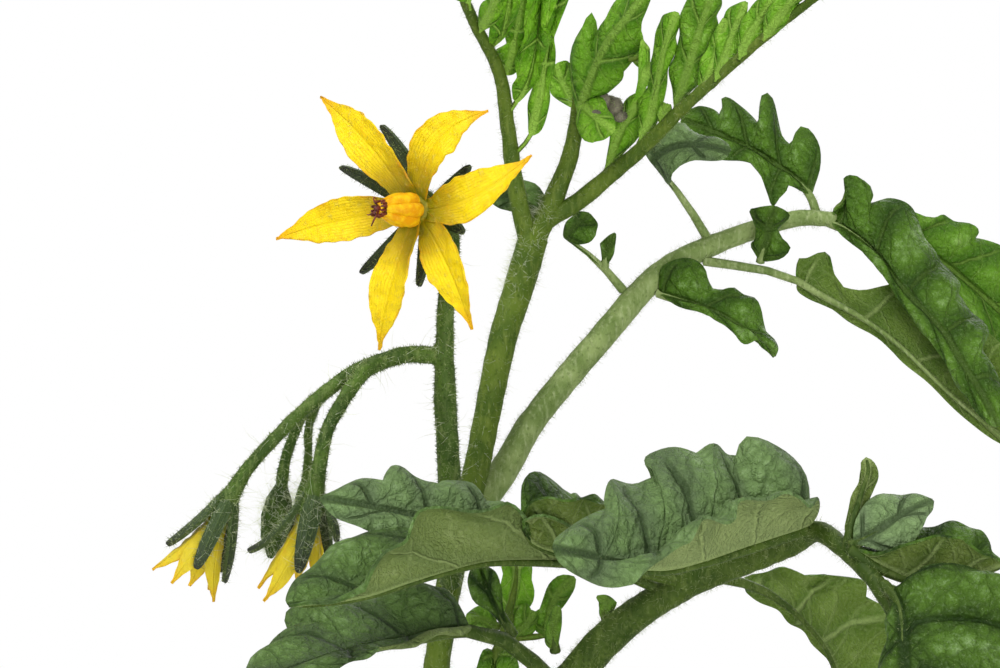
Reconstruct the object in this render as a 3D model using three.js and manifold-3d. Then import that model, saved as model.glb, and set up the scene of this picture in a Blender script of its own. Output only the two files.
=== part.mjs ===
// A young tomato plant in flower, in a plain clay pot.
// Millimetres, +Z up. The origin is the middle of the pot's underside, and -Y is the side that the open flower faces.
// Every green stem, leaf and bloom is its own solid. A stem's base stands 0.3 mm clear of what it grows from.
import * as THREE from 'three';
import { mergeVertices } from 'three/addons/utils/BufferGeometryUtils.js';
import Module from 'manifold-3d';

const wasm = await Module();
wasm.setup();

// ---- Driving dimensions ----
const GAP = 0.3;
const POT = {
  height: 125, footRadius: 48, bodyRadius: 62, rimRadius: 70, rimHeight: 27, rimFlare: 2, wall: 5.5, floor: 8,
  bevel: 2, sides: 36, holes: 3, holeRadius: 5, holeCircle: 26,
};
const SOIL = { top: 107, crown: 3, lump: 1.3, sides: 24, rings: 6, stemHole: 34 };
const BLADE = 0.75; // thickness of a leaf, sepal or petal
const STALK = 1.3; // width of a blade's own short stalk
const SWEEP = 0.45; // how far a leaf's edge runs forward for each millimetre out from its midrib
const ANTHERS = { count: 6, rib: 0.14 }; // how many make the cone, and how deep the grooves between them are

// The main stem from its end in the soil to the fork below the growing tip, and its radius from end to end.
const STEM = [
  [0, 0, 74], [0, 0, 108], [-1.5, 1, 150], [-3.5, 1.5, 200], [-4.5, 0.5, 250], [-3.5, 0, 280], [-1.6, 0, 295],
  [0.2, 0, 306.5], [3.2, 1, 319], [4.6, 3, 326], [6.5, 5, 335], [8.4, 7, 341], [10, 8, 346.5],
];
const STEM_RADII = [3.6, 3.6, 3.4, 3.2, 2.95, 2.7, 2.55, 2.3, 1.75, 1.6, 1.55, 1.6, 1.9];
const SHOOT = [[9.6, 8, 345.5], [11.9, 9, 350], [14.2, 9, 355.6], [15.2, 9, 360], [15.6, 8, 364.1]];
const SHOOT_RADII = [1.6, 1.35, 1.15, 1.0, 0.8];

// ---- Vectors and solids ----
const vec = (p) => new THREE.Vector3(...p);
const mix = (a, b, t) => a + (b - a) * t;
const line = (points) => new THREE.CatmullRomCurve3(points.map(vec), false, 'catmullrom', 0.5);

// A value read from a list spread evenly over 0 to 1.
function along(list, t) {
  const place = Math.min(t, 0.99999) * (list.length - 1);
  const i = Math.floor(place);
  return mix(list[i], list[i + 1], place - i);
}

function solid(geometry) {
  const g = geometry.clone();
  for (const name of Object.keys(g.attributes)) {
    if (name !== 'position') g.deleteAttribute(name);
  }
  const merged = mergeVertices(g, 1e-4);
  const mesh = new wasm.Mesh({
    numProp: 3,
    vertProperties: new Float32Array(merged.attributes.position.array),
    triVerts: new Uint32Array(merged.index.array),
  });
  return new wasm.Manifold(mesh);
}

const fuse = (solids) => solids.reduce((all, one) => all.add(one));

// The largest body of a cut solid, with the loose scraps dropped.
const largest = (s) => s.decompose().reduce((best, one) => (one.volume() > best.volume() ? one : best));

function mesh(name, shape, colour, roughness = 0.6) {
  const m = shape.getMesh();
  const g = new THREE.BufferGeometry();
  g.setAttribute('position', new THREE.BufferAttribute(new Float32Array(m.vertProperties), 3));
  g.setIndex(new THREE.BufferAttribute(new Uint32Array(m.triVerts), 1));
  g.computeVertexNormals();
  const made = new THREE.Mesh(g, new THREE.MeshStandardMaterial({ color: colour, roughness, metalness: 0 }));
  made.name = name;
  return made;
}

// A tapered stem: a cylinder bent along a curve, its radii spread evenly from start to end.
function stalk(points, radii, sides = 6, steps = 12, grow = 0) {
  const curve = line(points);
  const frames = curve.computeFrenetFrames(steps);
  const g = new THREE.CylinderGeometry(1, 1, 1, sides, steps);
  const place = g.attributes.position;
  for (let i = 0; i < place.count; i++) {
    const step = Math.round((place.getY(i) + 0.5) * steps);
    const radius = along(radii, step / steps) + grow;
    const p = curve.getPointAt(step / steps);
    p.addScaledVector(frames.normals[step], place.getX(i) * radius);
    p.addScaledVector(frames.binormals[step], -place.getZ(i) * radius);
    place.setXYZ(i, p.x, p.y, p.z);
  }
  return solid(g);
}

function ball(centre, size, sides = 8) {
  const g = new THREE.SphereGeometry(1, sides, Math.ceil(sides * 0.75)).scale(...size).translate(...centre);
  return solid(g);
}

// Turns a grid of points, rows along a blade and columns across it, into a closed sheet of the blade's thickness.
// Both faces are split into the same triangles.
function sheet(grid, normals, thickness) {
  const rows = grid.length;
  const columns = grid[0].length;
  const count = rows * columns;
  const points = [];
  for (const side of [0.5, -0.5]) {
    grid.forEach((row, i) => row.forEach((p, j) => {
      points.push(...p.clone().addScaledVector(normals[i][j], side * thickness).toArray());
    }));
  }
  const at = (i, j) => i * columns + j;
  const faces = [];
  for (let i = 0; i < rows - 1; i++) {
    for (let j = 0; j < columns - 1; j++) {
      const [a, b, c, d] = [at(i, j), at(i, j + 1), at(i + 1, j + 1), at(i + 1, j)];
      const pair = j < (columns - 1) / 2 ? [[a, b, c], [a, c, d]] : [[a, b, d], [b, c, d]];
      for (const [p, q, r] of pair) faces.push(p, q, r, count + p, count + r, count + q);
    }
  }
  const rim = [];
  for (let j = 0; j < columns - 1; j++) rim.push(at(0, j));
  for (let i = 0; i < rows - 1; i++) rim.push(at(i, columns - 1));
  for (let j = columns - 1; j > 0; j--) rim.push(at(rows - 1, j));
  for (let i = rows - 1; i > 0; i--) rim.push(at(i, 0));
  rim.forEach((p, k) => {
    const q = rim[(k + 1) % rim.length];
    faces.push(p, count + p, q, q, count + p, count + q);
  });
  const g = new THREE.BufferGeometry();
  g.setAttribute('position', new THREE.BufferAttribute(new Float32Array(points), 3));
  g.setIndex(faces);
  const made = solid(g);
  return made.volume() < 0 ? solid(g.setIndex(faces.reverse())) : made;
}

// ---- Blades: leaflets, sepals and petals ----
// A leaf's half width along the midrib, as a share of its widest, without its lobes.
const leafOutline = (u) => Math.sin(Math.PI * u ** 0.62) ** 0.75;
const petalOutline = (u) => 0.42 * (1 - u) ** 2 + Math.sin(Math.PI * u ** 0.9);
const sepalOutline = (u) => (1 - u ** 2.2) * 0.6 + 0.4 * Math.sin(Math.PI * u ** 0.8);
// One lobe of a leaf's edge, from its notch over its rounded tip to the next notch.
const lobeShape = (f) => Math.sin(Math.PI * f ** 1.25) ** 0.5;

// A blade bends from base through middle to tip. Its face is the way its upper side looks: one direction, or a list
// of them from base to tip. fold is how far its halves rise from the midrib, in degrees, spread the same way.
// bare is the share of its length that is stalk, each lobe of its edge has one cross-section at every place of split,
// and sides is the share of the full width that its two halves have.
function blade(spec) {
  const {
    base, middle, tip, width, face, fold = [15, 5], lobes = 3, cut = 0.4, wave = 0.06, bare = 0.12,
    outline = leafOutline, sweep = SWEEP, stalkWidth = STALK, thickness = BLADE, split = [0.02, 0.45], sides = [1, 1],
  } = spec;
  const faces = Array.isArray(face[0]) ? face : [face, face];
  const [start, end] = [vec(base), vec(tip)];
  const bend = vec(middle).multiplyScalar(2).addScaledVector(start, -0.5).addScaledVector(end, -0.5);
  const midrib = new THREE.QuadraticBezierCurve3(start, bend, end);
  const stations = bare > 0 ? [0] : [];
  for (let k = 0; k < lobes; k++) {
    for (const f of split) stations.push(bare + (1 - bare) * (k + f) / lobes);
  }
  stations.push(1);
  const grid = [];
  const normals = [];
  for (const t of stations) {
    const u = Math.max(0, (t - bare) / (1 - bare));
    const place = u * lobes;
    const lobe = mix(1 - cut * (1 - 0.35 * u), 1, lobeShape(place - Math.floor(Math.min(place, lobes - 0.001))));
    const half = stalkWidth / 2 * (1 - 0.5 * u) + (width / 2) * outline(u) * lobe * (t > bare ? 1 : 0);
    const tangent = midrib.getTangent(t);
    const up = new THREE.Vector3(...[0, 1, 2].map((k) => along(faces.map((f) => f[k]), t)));
    const across = new THREE.Vector3().crossVectors(tangent, up).normalize();
    const normal = new THREE.Vector3().crossVectors(across, tangent).normalize();
    const rise = THREE.MathUtils.degToRad(along(fold, t));
    const ripple = wave * Math.sin(2 * Math.PI * place);
    const row = [];
    const rowNormals = [];
    for (const v of [-sides[0], 0, sides[1]]) {
      const out = Math.abs(v) * half;
      const p = midrib.getPoint(t);
      p.addScaledVector(across, v * half * Math.cos(rise));
      p.addScaledVector(normal, out * (Math.sin(rise) + ripple));
      p.addScaledVector(tangent, t > bare ? out * sweep * (1 - u) : 0);
      row.push(p);
      const tilt = normal.clone().multiplyScalar(Math.cos(rise));
      rowNormals.push(tilt.addScaledVector(across, -Math.sign(v) * Math.sin(rise)).normalize());
    }
    grid.push(row);
    normals.push(rowNormals);
  }
  return sheet(grid, normals, thickness);
}

// ---- Leaves ----
// A leaflet's line: base, middle and tip of its midrib, its width, its upper side's direction, and what differs.
const leaflet = (base, middle, tip, width, face, more = {}) => ({ base, middle, tip, width, face, ...more });
const small = { lobes: 2, cut: 0.3, bare: 0.2, stalkWidth: 0.9 };
const narrow = { lobes: 2, cut: 0.3, bare: 0.12, stalkWidth: 0.9 };
const rounded = { lobes: 4, split: [0.02, 0.33, 0.75] };

// The leaves that grow by the open flower: the route of each one's stalk, its radii, and its leaflets.
const NEAR_LEAVES = {
  leaf_front: {
    route: [[-2.6, 0, 284], [1.5, -3, 286.5], [6, -5, 289.3], [12.9, -10, 294], [17.4, -14, 299.6], [21.7, -18, 303.8],
      [27, -23, 307.5], [32.1, -28, 310], [37, -33, 312.4], [39.4, -37, 314.2], [41.4, -41, 313], [44, -45, 310.3],
      [46.3, -49, 306.4]],
    radii: [2.4, 2.2, 2.1, 2.0, 1.7, 1.45, 1.2, 1.0, 0.9],
    leaflets: [
      leaflet([39.4, -36.4, 314.4], [22.4, -46, 308.6], [10.4, -52.5, 312], 29,
        [[0.05, -0.3, 0.95], [0.05, -0.34, 0.94], [0, -0.34, 0.94], [-0.4, -0.6, 0.7]],
        { ...rounded, fold: [40, 38, 34, 5], cut: 0.46, bare: 0.03, sweep: 0 }),
      leaflet([23, -19, 304.8], [4, -29.4, 310.4], [-15.8, -40, 306], 24,
        [[0, 0.2, 0.98], [0, 0.25, 0.97], [-0.1, 0, 1], [-0.4, -0.6, 0.7]],
        { ...rounded, fold: [20, 22, 18, 0], bare: 0.1, sweep: 0.2 }),
      leaflet([19, -16, 301.6], [3.8, -22, 315.2], [-13, -27, 317.2], 13.5, [-0.1, -0.5, 0.87],
        { fold: [0, 0], lobes: 4, bare: 0.34 }),
      leaflet([25.6, -21.4, 306.4], [17.6, -24.5, 311.6], [10.4, -21.6, 319], 11, [0.1, -0.55, 0.83],
        { lobes: 3, fold: [30, 10], bare: 0.25 }),
      leaflet([13, -10, 294.4], [0.4, -20.6, 302], [-26, -37, 292.5], 20, [[-0.1, -0.5, 0.86], [-0.1, -0.62, 0.78]],
        { ...rounded, fold: [16, 6], bare: 0.32 }),
      leaflet([7.4, -14.5, 300.8], [4.4, -14.6, 304.4], [4.4, -12.6, 308.8], 5, [-0.4, -0.9, 0.1], small),
      leaflet([10.6, -12.2, 298.6], [12, -14, 302], [10.4, -14, 304.6], 2.6, [0, -1, 0.2], small),
      leaflet([18.8, -15, 301.6], [18.6, -14.6, 303.8], [16.6, -14, 305.2], 2.4, [0, -1, 0.2], small),
      leaflet([28.6, -24.2, 308], [39.8, -17.5, 302.3], [47.5, -14, 288], 23, [0.65, 0.15, 0.75],
        { fold: [50, 50, 30], lobes: 4, bare: 0.04, sweep: 0.3 }),
      leaflet([42.2, -42.4, 312.4], [42.8, -41.4, 317.6], [44.8, -40, 322], 3.2, [-0.9, -0.4, 0.1], narrow),
      leaflet([43, -44, 311.4], [46.4, -42.6, 315.6], [51.4, -42, 317.4], 9, [[-0.4, -0.8, 0.4], [0, -0.85, 0.5]],
        { lobes: 3, fold: [10, 0], bare: 0.06, cut: 0.3 }),
      leaflet([43.4, -44.2, 311], [51.5, -46.5, 308.6], [61.5, -47, 303.5], 16, [[0.2, -0.1, 0.97], [0.25, -0.15, 0.95]],
        { fold: [45, 45, 15], lobes: 3, cut: 0.3, bare: 0.03 }),
      leaflet([46, -48.6, 307], [46.2, -57.5, 303], [47.5, -66, 290], 26,
        [[0.7, -0.3, 0.6], [0.7, -0.42, 0.57], [0.35, -0.85, 0.4]],
        { ...rounded, fold: [52, 46, 8], cut: 0.32, bare: 0.02, sweep: 0, sides: [1, 0.4] }),
    ],
  },
  leaf_right: {
    route: [[2.6, 1.2, 312.5], [4.4, 2.6, 315.8], [6.6, 4, 318.8], [9.8, 7, 324.2], [15.1, 10, 330.7], [18.9, 12, 335],
      [23.4, 15, 340.2], [27.5, 17, 343.6], [32.6, 19, 346.1], [38.3, 20, 348.2], [43.5, 20, 349.6], [48, 19, 349.4]],
    radii: [1.9, 1.75, 1.6, 1.6, 1.6, 1.55, 1.35, 1.15, 0.95],
    leaflets: [
      leaflet([25.6, 14.4, 342.2], [33.4, 9.8, 339], [40.3, 8, 332.3], 8.5, [[-0.35, -0.65, 0.7], [-0.3, -0.75, 0.6]],
        { fold: [15, 5], lobes: 3, cut: 0.6, bare: 0.02, sweep: 0.2 }),
      leaflet([31.6, 18.4, 345.8], [51.2, 14, 337.6], [68.5, 6, 321], 21, [[0.1, 0.12, 1], [0.5, 0.1, 0.85]],
        { lobes: 4, fold: [50, 54, 50], bare: 0.24, sweep: 0.2 }),
      leaflet([47.2, 19.2, 349.3], [56.6, 11, 340.6], [65, 0, 324], 25, [[0.4, -0.3, 0.87], [0.7, -0.2, 0.7]],
        { ...rounded, fold: [42, 36, 20], bare: 0.02, sweep: 0.1 }),
      leaflet([47.2, 19.8, 349.6], [60.4, 24, 347.4], [73, 27, 334], 20, [[0.15, -0.45, 0.85], [0.4, -0.6, 0.65]],
        { fold: [15, 5], lobes: 4, bare: 0.03 }),
      leaflet([44.6, 20, 349.8], [37.5, 25, 358.2], [26, 27, 357.6], 15, [0.1, -0.75, 0.65],
        { fold: [10, 5], lobes: 4, cut: 0.62, bare: 0.1 }),
      leaflet([32.4, 19, 346], [25.4, 15.5, 354.4], [32.6, 12, 360.4], 8, [0.1, -0.6, 0.7],
        { lobes: 3, bare: 0.5, fold: [10, 5] }),
      leaflet([38.4, 17, 344.6], [40.4, 15.4, 347.4], [38.2, 14.2, 352.4], 4.6, [0, -1, 0.1],
        { ...small, bare: 0.2, cut: 0.5 }),
      leaflet([22.4, 14.4, 339.6], [13.6, 13.4, 347.4], [4.6, 12.4, 350.6], 6.5, [0, -0.9, 0.4],
        { lobes: 3, bare: 0.45, stalkWidth: 1.1 }),
      leaflet([16.4, 13.6, 345], [18.2, 13, 347.4], [16.6, 12.6, 350.6], 3.2, [0, -1, 0.1], { ...small, bare: 0.1 }),
    ],
  },
  leaf_upper_left: {
    route: [[10, 8, 344.5], [9, 7.8, 348], [7.9, 7, 353], [7, 6, 359.7], [5.9, 4, 366.4], [3, 1, 372], [0.4, -3, 377.5],
      [-2, -8, 382]],
    radii: [1.25, 1.15, 1.05, 0.95, 0.85, 0.7, 0.6],
    leaflets: [
      leaflet([8.2, 6.4, 357.4], [11.9, 5.6, 364], [13, 3, 376], 2.4, [0.5, -0.9, 0.1], { ...narrow, bare: 0.25 }),
      leaflet([7, 5.4, 362.4], [11, 3.8, 367.2], [14.4, 0, 380], 4.6, [-0.4, -0.9, 0.2], { ...narrow, bare: 0.12 }),
      leaflet([5.4, 3.2, 368], [8.6, 0.6, 373], [11.4, -4, 384], 4.4, [-0.4, -0.9, 0.3], { ...narrow, bare: 0.12 }),
      leaflet([1.6, -0.6, 375], [-3, 0, 379], [-6.4, -1, 386], 6, [-0.7, 0.4, 0.4], { ...narrow, bare: 0.15 }),
      leaflet([1.2, -1.6, 376], [5.4, -6, 381], [7.6, -10, 389], 6, [0.6, 0.6, 0.4], { ...narrow, bare: 0.15 }),
      leaflet([-1.6, -7.4, 381.4], [-4.6, -12, 387], [-8, -19, 391], 9, [-0.2, 0.4, 0.9],
        { fold: [20, 10], lobes: 3, bare: 0.05 }),
    ],
  },
  leaf_upper_right: {
    route: [[11.4, 8.8, 348.6], [13.2, 9, 349.8], [15.3, 9, 351], [19.4, 8, 354.3], [23.9, 6, 358.1], [27.9, 4, 362.1],
      [33, 2, 366.6], [39.6, -1, 372], [45.8, -5, 376.4], [51, -9, 379.4]],
    radii: [1.1, 1.15, 1.1, 1.0, 0.9, 0.85, 0.75, 0.65, 0.55],
    leaflets: [
      leaflet([20.6, 7.6, 355.4], [22.6, 8.4, 363.6], [26.8, 7, 374], 3.6, [-0.6, -0.8, 0.2], narrow),
      leaflet([27.4, 4.4, 361.8], [28.6, 5.6, 368], [31.8, 4, 376.4], 4.2, [-0.6, -0.8, 0.2], narrow),
      leaflet([32.6, 2.2, 366.2], [33.4, 3.6, 370.4], [36, 3, 375.4], 3, [-0.6, -0.8, 0.2], narrow),
      leaflet([36, 0.8, 369], [37.4, 2.4, 372.6], [41, 1.4, 377.4], 3.4, [-0.5, -0.8, 0.3], narrow),
      leaflet([28.8, 3.4, 362.8], [31, -1, 367.6], [33.6, -3.4, 372.5], 2.8, [-0.5, -0.8, 0.3], narrow),
      leaflet([42, -2.4, 373.8], [44, 1.8, 378], [48.6, 4.5, 381.5], 5.5, [-0.2, 0.3, 0.9], narrow),
      leaflet([50.6, -8.6, 379.2], [57, -12, 381.4], [64.5, -18, 379], 10, [0, 0, 1],
        { fold: [20, 5], lobes: 4, bare: 0.04 }),
    ],
  },
  leaf_tip: {
    route: [[15.5, 8.1, 363.4], [15.9, 7.6, 366], [17.5, 6, 369.2], [20.9, 4, 373.8], [24, 2, 377.6]],
    radii: [0.75, 0.7, 0.6, 0.45],
    leaflets: [
      leaflet([16, 7.6, 365.6], [20.4, 4.2, 373.4], [25.4, 0, 382.5], 7.6, [-0.45, -0.75, 0.25],
        { fold: [28, 15], lobes: 4, bare: 0.02 }),
      leaflet([15.7, 8, 364.6], [15, 8.6, 369], [17, 9, 374.2], 3, [-0.6, -0.8, 0.1], narrow),
      leaflet([15.9, 7.8, 365], [19, 5, 363], [19.6, 3.4, 358.2], 3.6, [0.1, -0.9, 0.3], { ...narrow, bare: 0.06 }),
      leaflet([21.6, 3.4, 374.6], [24.9, 1, 369.4], [21.8, 0, 362.4], 2.4, [0.4, -0.9, 0.1], narrow),
    ],
  },
  side_shoot: {
    route: [[-1.9, -0.6, 291.8], [1.2, -1.8, 293], [4.4, -2.8, 295.4], [6.4, -3.2, 298.6], [7, -3.2, 302]],
    radii: [1.2, 1.1, 1.0, 0.9, 0.8],
    leaflets: [
      leaflet([7, -3.2, 301.4], [7.2, -2.6, 305.6], [8.4, -3.4, 310.6], 5, [0.1, -1, 0.1], { ...narrow, bare: 0.05 }),
      leaflet([4.4, -2.8, 295.6], [11, -3.6, 297.6], [14.6, -4.2, 307], 3.6, [-0.6, -0.8, 0.1],
        { ...narrow, bare: 0.35 }),
      leaflet([2.4, -2.4, 294], [4.6, -5.4, 297], [6, -8.5, 299.8], 6, [-0.4, -0.6, 0.7], { ...narrow, bare: 0.1 }),
      leaflet([6, -2.6, 298], [9.6, 0.4, 301], [12.6, 3.4, 297.5], 5, [0, -0.3, 0.9], narrow),
    ],
  },
};

// The leaves lower on the stem, oldest first: where each leaves the stem, its compass direction in degrees, the length
// of its stalk, how steeply it rises and how far it sags, each as a share of that length, and its leaflets' size.
const LOWER_LEAVES = [
  { height: 141, turn: 205, reach: 84, slope: 0.5, sag: 0.66, size: 42 },
  { height: 165, turn: 62, reach: 98, slope: 0.62, sag: 0.7, size: 50 },
  { height: 192, turn: 292, reach: 104, slope: 0.52, sag: 0.68, size: 54 },
  { height: 221, turn: 158, reach: 104, slope: 0.5, sag: 0.64, size: 52 },
  { height: 248, turn: 20, reach: 96, slope: 0.4, sag: 0.62, size: 48 },
];
const LEAFLET_PAIRS = [0.44, 0.76]; // where pairs of leaflets stand on a lower leaf's stalk
const BIT_PLACES = [0.6]; // where the small leaflets between them stand
const stemLine = line(STEM);

// The point of the stem's axis at a height.
function stemAt(height) {
  let [low, high] = [0, 1];
  for (let i = 0; i < 24; i++) {
    const t = (low + high) / 2;
    if (stemLine.getPoint(t).z < height) low = t; else high = t;
  }
  return stemLine.getPoint(low);
}

// A lower leaf by rule: an arching stalk, leaflets in pairs, small ones between them, and one at the end.
function lowerLeaf({ height, turn, reach, slope, sag, size }, index) {
  const angle = THREE.MathUtils.degToRad(turn);
  const out = new THREE.Vector3(Math.cos(angle), Math.sin(angle), 0);
  const side = new THREE.Vector3(-out.y, out.x, 0);
  const root = stemAt(height);
  const vary = (k) => Math.sin(7.3 * k + 2.1 * index);
  const onStalk = (s) => root.clone().addScaledVector(out, reach * s).addScaledVector(side, 5 * s * s * vary(0))
    .setZ(height + reach * (slope * s - sag * s * s));
  const route = [0, 0.12, 0.3, 0.5, 0.7, 0.85, 1].map((s) => onStalk(s).toArray());
  const leaflets = [];
  const grow = (s, way, length, width, drop, more, k) => {
    const base = onStalk(s);
    const heading = out.clone().multiplyScalar(way === 0 ? 1 : 0.5).addScaledVector(side, way * (0.84 + 0.1 * vary(k)));
    const tip = base.clone().addScaledVector(heading, length);
    tip.z -= length * (drop + 0.12 * vary(k + 5));
    const middle = base.clone().lerp(tip, 0.5);
    middle.z += length * (0.1 + 0.03 * vary(k + 9));
    const face = [0.25 * vary(k + 3) + 0.2 * heading.x, 0.25 * vary(k + 4) + 0.2 * heading.y, 1];
    leaflets.push(leaflet(base.toArray(), middle.toArray(), tip.toArray(), width, face, more));
  };
  LEAFLET_PAIRS.forEach((s, i) => [-1, 1].forEach((way, j) => {
    const length = size * (0.92 + 0.1 * i + 0.06 * vary(3 * i + j));
    grow(s + 0.03 * j, way, length, length * 0.64, 0.24, { bare: 0.14 }, 3 * i + j + 1);
  }));
  BIT_PLACES.forEach((s, i) => [-1, 1].forEach((way, j) => {
    grow(s + 0.04 * j, way, size * 0.27, size * 0.17, 0.05, small, 11 * i + 4 * j + 2);
  }));
  grow(0.985, 0, size * 1.15, size * 0.76, 0.55, { lobes: 4, bare: 0.06 }, 20);
  return { route, radii: [2.1, 1.7, 1.5, 1.3, 1.1, 0.9], leaflets };
}

function leafSolid({ route, radii, leaflets }) {
  return fuse([stalk(route, radii, 6, route.length + 2), ...leaflets.map(blade)]);
}

// ---- The flower truss ----
// What petals and sepals share: a plain edge, all blade from base to tip.
const SMOOTH = { lobes: 1, cut: 0, wave: 0, bare: 0, sweep: 0.1, stalkWidth: 0.6, split: [0.02, 0.35, 0.7] };
const OPEN_FLOWER = { centre: [-2.8, -17, 349.2], axis: [-0.6, -0.8, 0], discRadius: 2.6 };
// The open flower's petals and sepals: tip, and middle, of each.
const OPEN_PETALS = [
  { tip: [-14.1, -12.5, 361.9], middle: [-8.6, -16.6, 356.2] },
  { tip: [4.7, -21, 359.8], middle: [1.2, -20.4, 355] },
  { tip: [9.3, -22.5, 354.4], middle: [3, -21.8, 351.2] },
  { tip: [3.2, -20.5, 336], middle: [0.2, -20.4, 342.6] },
  { tip: [-7.7, -14.5, 333.2], middle: [-6.1, -17.6, 340.8] },
  { tip: [-19.2, -9.5, 345.1], middle: [-11.4, -13.6, 346.8] },
];
const OPEN_SEPALS = [
  { tip: [-7.6, -11.5, 358.9], middle: [-5, -14.6, 354.4] },
  { tip: [-12.4, -10.5, 354.2], middle: [-8, -13.4, 351.8] },
  { tip: [2.6, -18, 353.9], middle: [0, -17.2, 351.6] },
  { tip: [1.9, -17.6, 346.4], middle: [-0.2, -17.2, 347.6] },
  { tip: [-3.2, -15.6, 340.4], middle: [-3, -16, 344.6] },
  { tip: [-10, -11, 342], middle: [-6.6, -13.8, 345.4] },
];
// The flowers that are only half open: where the calyx starts, the way each hangs, and its petals.
const HANGING_FLOWERS = {
  left: { base: [-24.8, -14, 316.4], axis: [-0.38, 0, -0.92], length: 11.6, spread: 4.4, sepals: 5, turn: 20 },
  right: { base: [-14.6, -17, 317.2], axis: [-0.17, -0.04, -0.98], length: 11.7, spread: 4.6, sepals: 5, turn: 75 },
};
const BUDS = [
  { base: [-19.2, -10, 317.4], tip: [-20.9, -9, 308.9], radius: 1.9 },
  { base: [-16.6, -6, 317.6], tip: [-17, -5.6, 312.6], radius: 1.2 },
];
const TRUSS_STEMS = [
  {
    route: [[0.2, -2.4, 305.6], [0, -5, 309.6], [0.1, -7, 318], [-0.3, -8, 326.2], [-0.4, -9, 332.3],
      [-0.2, -10, 338.9], [0.5, -10.4, 344], [0.2, -11.6, 347.4], [-1.5, -14.4, 349.1]],
    radii: [1.3, 1.35, 1.3, 1.3, 1.25, 1.05, 0.95, 0.85, 0.95],
  },
  {
    route: [[-0.4, -9, 332.3], [-4.1, -10, 332.7], [-7.2, -11, 332], [-10.8, -12, 330.6], [-14.5, -13, 327.9],
      [-18.3, -14, 324.5], [-22.1, -14, 320.4], [-24.9, -14, 316.2]],
    radii: [1, 0.95, 0.85, 0.8, 0.75, 0.7, 0.75, 0.9],
  },
  {
    route: [[-6.6, -10.8, 332.1], [-9.5, -13, 330.7], [-11.8, -15, 327.4], [-13.6, -16, 324], [-14.3, -17, 320.4],
      [-14.6, -17, 317]],
    radii: [0.85, 0.85, 0.8, 0.75, 0.8, 0.95],
  },
  {
    route: [[-14.3, -12.9, 328], [-16.4, -12, 326.1], [-17.6, -11, 323.6], [-18.8, -10, 320.3], [-19.2, -10, 317]],
    radii: [0.65, 0.6, 0.6, 0.7],
  },
  {
    route: [[-14.6, -13, 327.8], [-16, -9.6, 324.6], [-16.3, -7.4, 321], [-16.6, -6, 317.4]],
    radii: [0.55, 0.5, 0.5, 0.6],
  },
];

// Two directions across an axis.
function across(axis) {
  const z = vec(axis).normalize();
  const x = new THREE.Vector3(0, 0, 1).cross(z);
  if (x.length() < 0.1) x.set(1, 0, 0);
  x.normalize();
  return [x, new THREE.Vector3().crossVectors(z, x), z];
}

// A short round body along an axis: its profile lists [distance along the axis, radius].
function turned(base, axis, profile, sides = 12, rib = 0, ribs = 0) {
  const points = [new THREE.Vector2(0, profile[0][0]), ...profile.map(([h, r]) => new THREE.Vector2(r, h)),
    new THREE.Vector2(0, profile[profile.length - 1][0])];
  const g = new THREE.LatheGeometry(points, sides);
  const [x, y, z] = across(axis);
  const place = g.attributes.position;
  for (let i = 0; i < place.count; i++) {
    const [a, h, b] = [place.getX(i), place.getY(i), place.getZ(i)];
    const grow = 1 + rib * Math.cos(ribs * Math.atan2(b, a));
    const p = vec(base).addScaledVector(x, a * grow).addScaledVector(y, b * grow).addScaledVector(z, h);
    place.setXYZ(i, p.x, p.y, p.z);
  }
  const made = solid(g);
  if (made.volume() > 0) return made;
  const index = Array.from(g.index.array).reverse();
  return solid(g.setIndex(index));
}

const shift = (p, axis, d) => vec(p).addScaledVector(vec(axis).normalize(), d).toArray();

function openFlower() {
  const { centre, axis, discRadius } = OPEN_FLOWER;
  const inwards = (p, out) => vec(centre).add(vec(p).sub(vec(centre)).setLength(out)).toArray();
  const petals = OPEN_PETALS.map(({ tip, middle }) => blade({
    ...SMOOTH, base: inwards(middle, 1.3), middle, tip, width: 4.3, face: axis, fold: [-4, 12],
    outline: petalOutline, split: [0.02, 0.25, 0.5, 0.78],
  }));
  const disc = turned(shift(centre, axis, -0.5), axis, [[0, discRadius], [1.1, discRadius * 0.8]]);
  const sepals = OPEN_SEPALS.map(({ tip, middle }) => blade({
    ...SMOOTH, base: shift(inwards(middle, 1.5), axis, -1.5), middle: shift(middle, axis, -0.9), tip, width: 2.4,
    face: axis, fold: [0, 10], outline: sepalOutline,
  }));
  const cup = turned(shift(centre, axis, -3.2), axis, [[0, 0.9], [1, 1.7], [2.3, 2.2]], 8);
  const coneRoom = turned(shift(centre, axis, 0.95), axis, [[0, 1.9], [1, 2.5], [4, 2.9]]);
  const profile = [[0, 1.4], [0.8, 1.95], [3.4, 2.1], [6.4, 1.7], [8.6, 0.8]];
  const cone = turned(shift(centre, axis, 1.3), axis, profile, 3 * ANTHERS.count, ANTHERS.rib, ANTHERS.count);
  const style = turned(shift(centre, axis, 9.4), axis, [[0, 0.45], [1.2, 0.45], [1.6, 0.7], [2, 0.5]], 8);
  return {
    corolla: largest(fuse([disc, ...petals]).subtract(coneRoom)),
    calyx: fuse([cup, ...sepals]),
    cone: fuse([cone, style]),
  };
}

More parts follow.
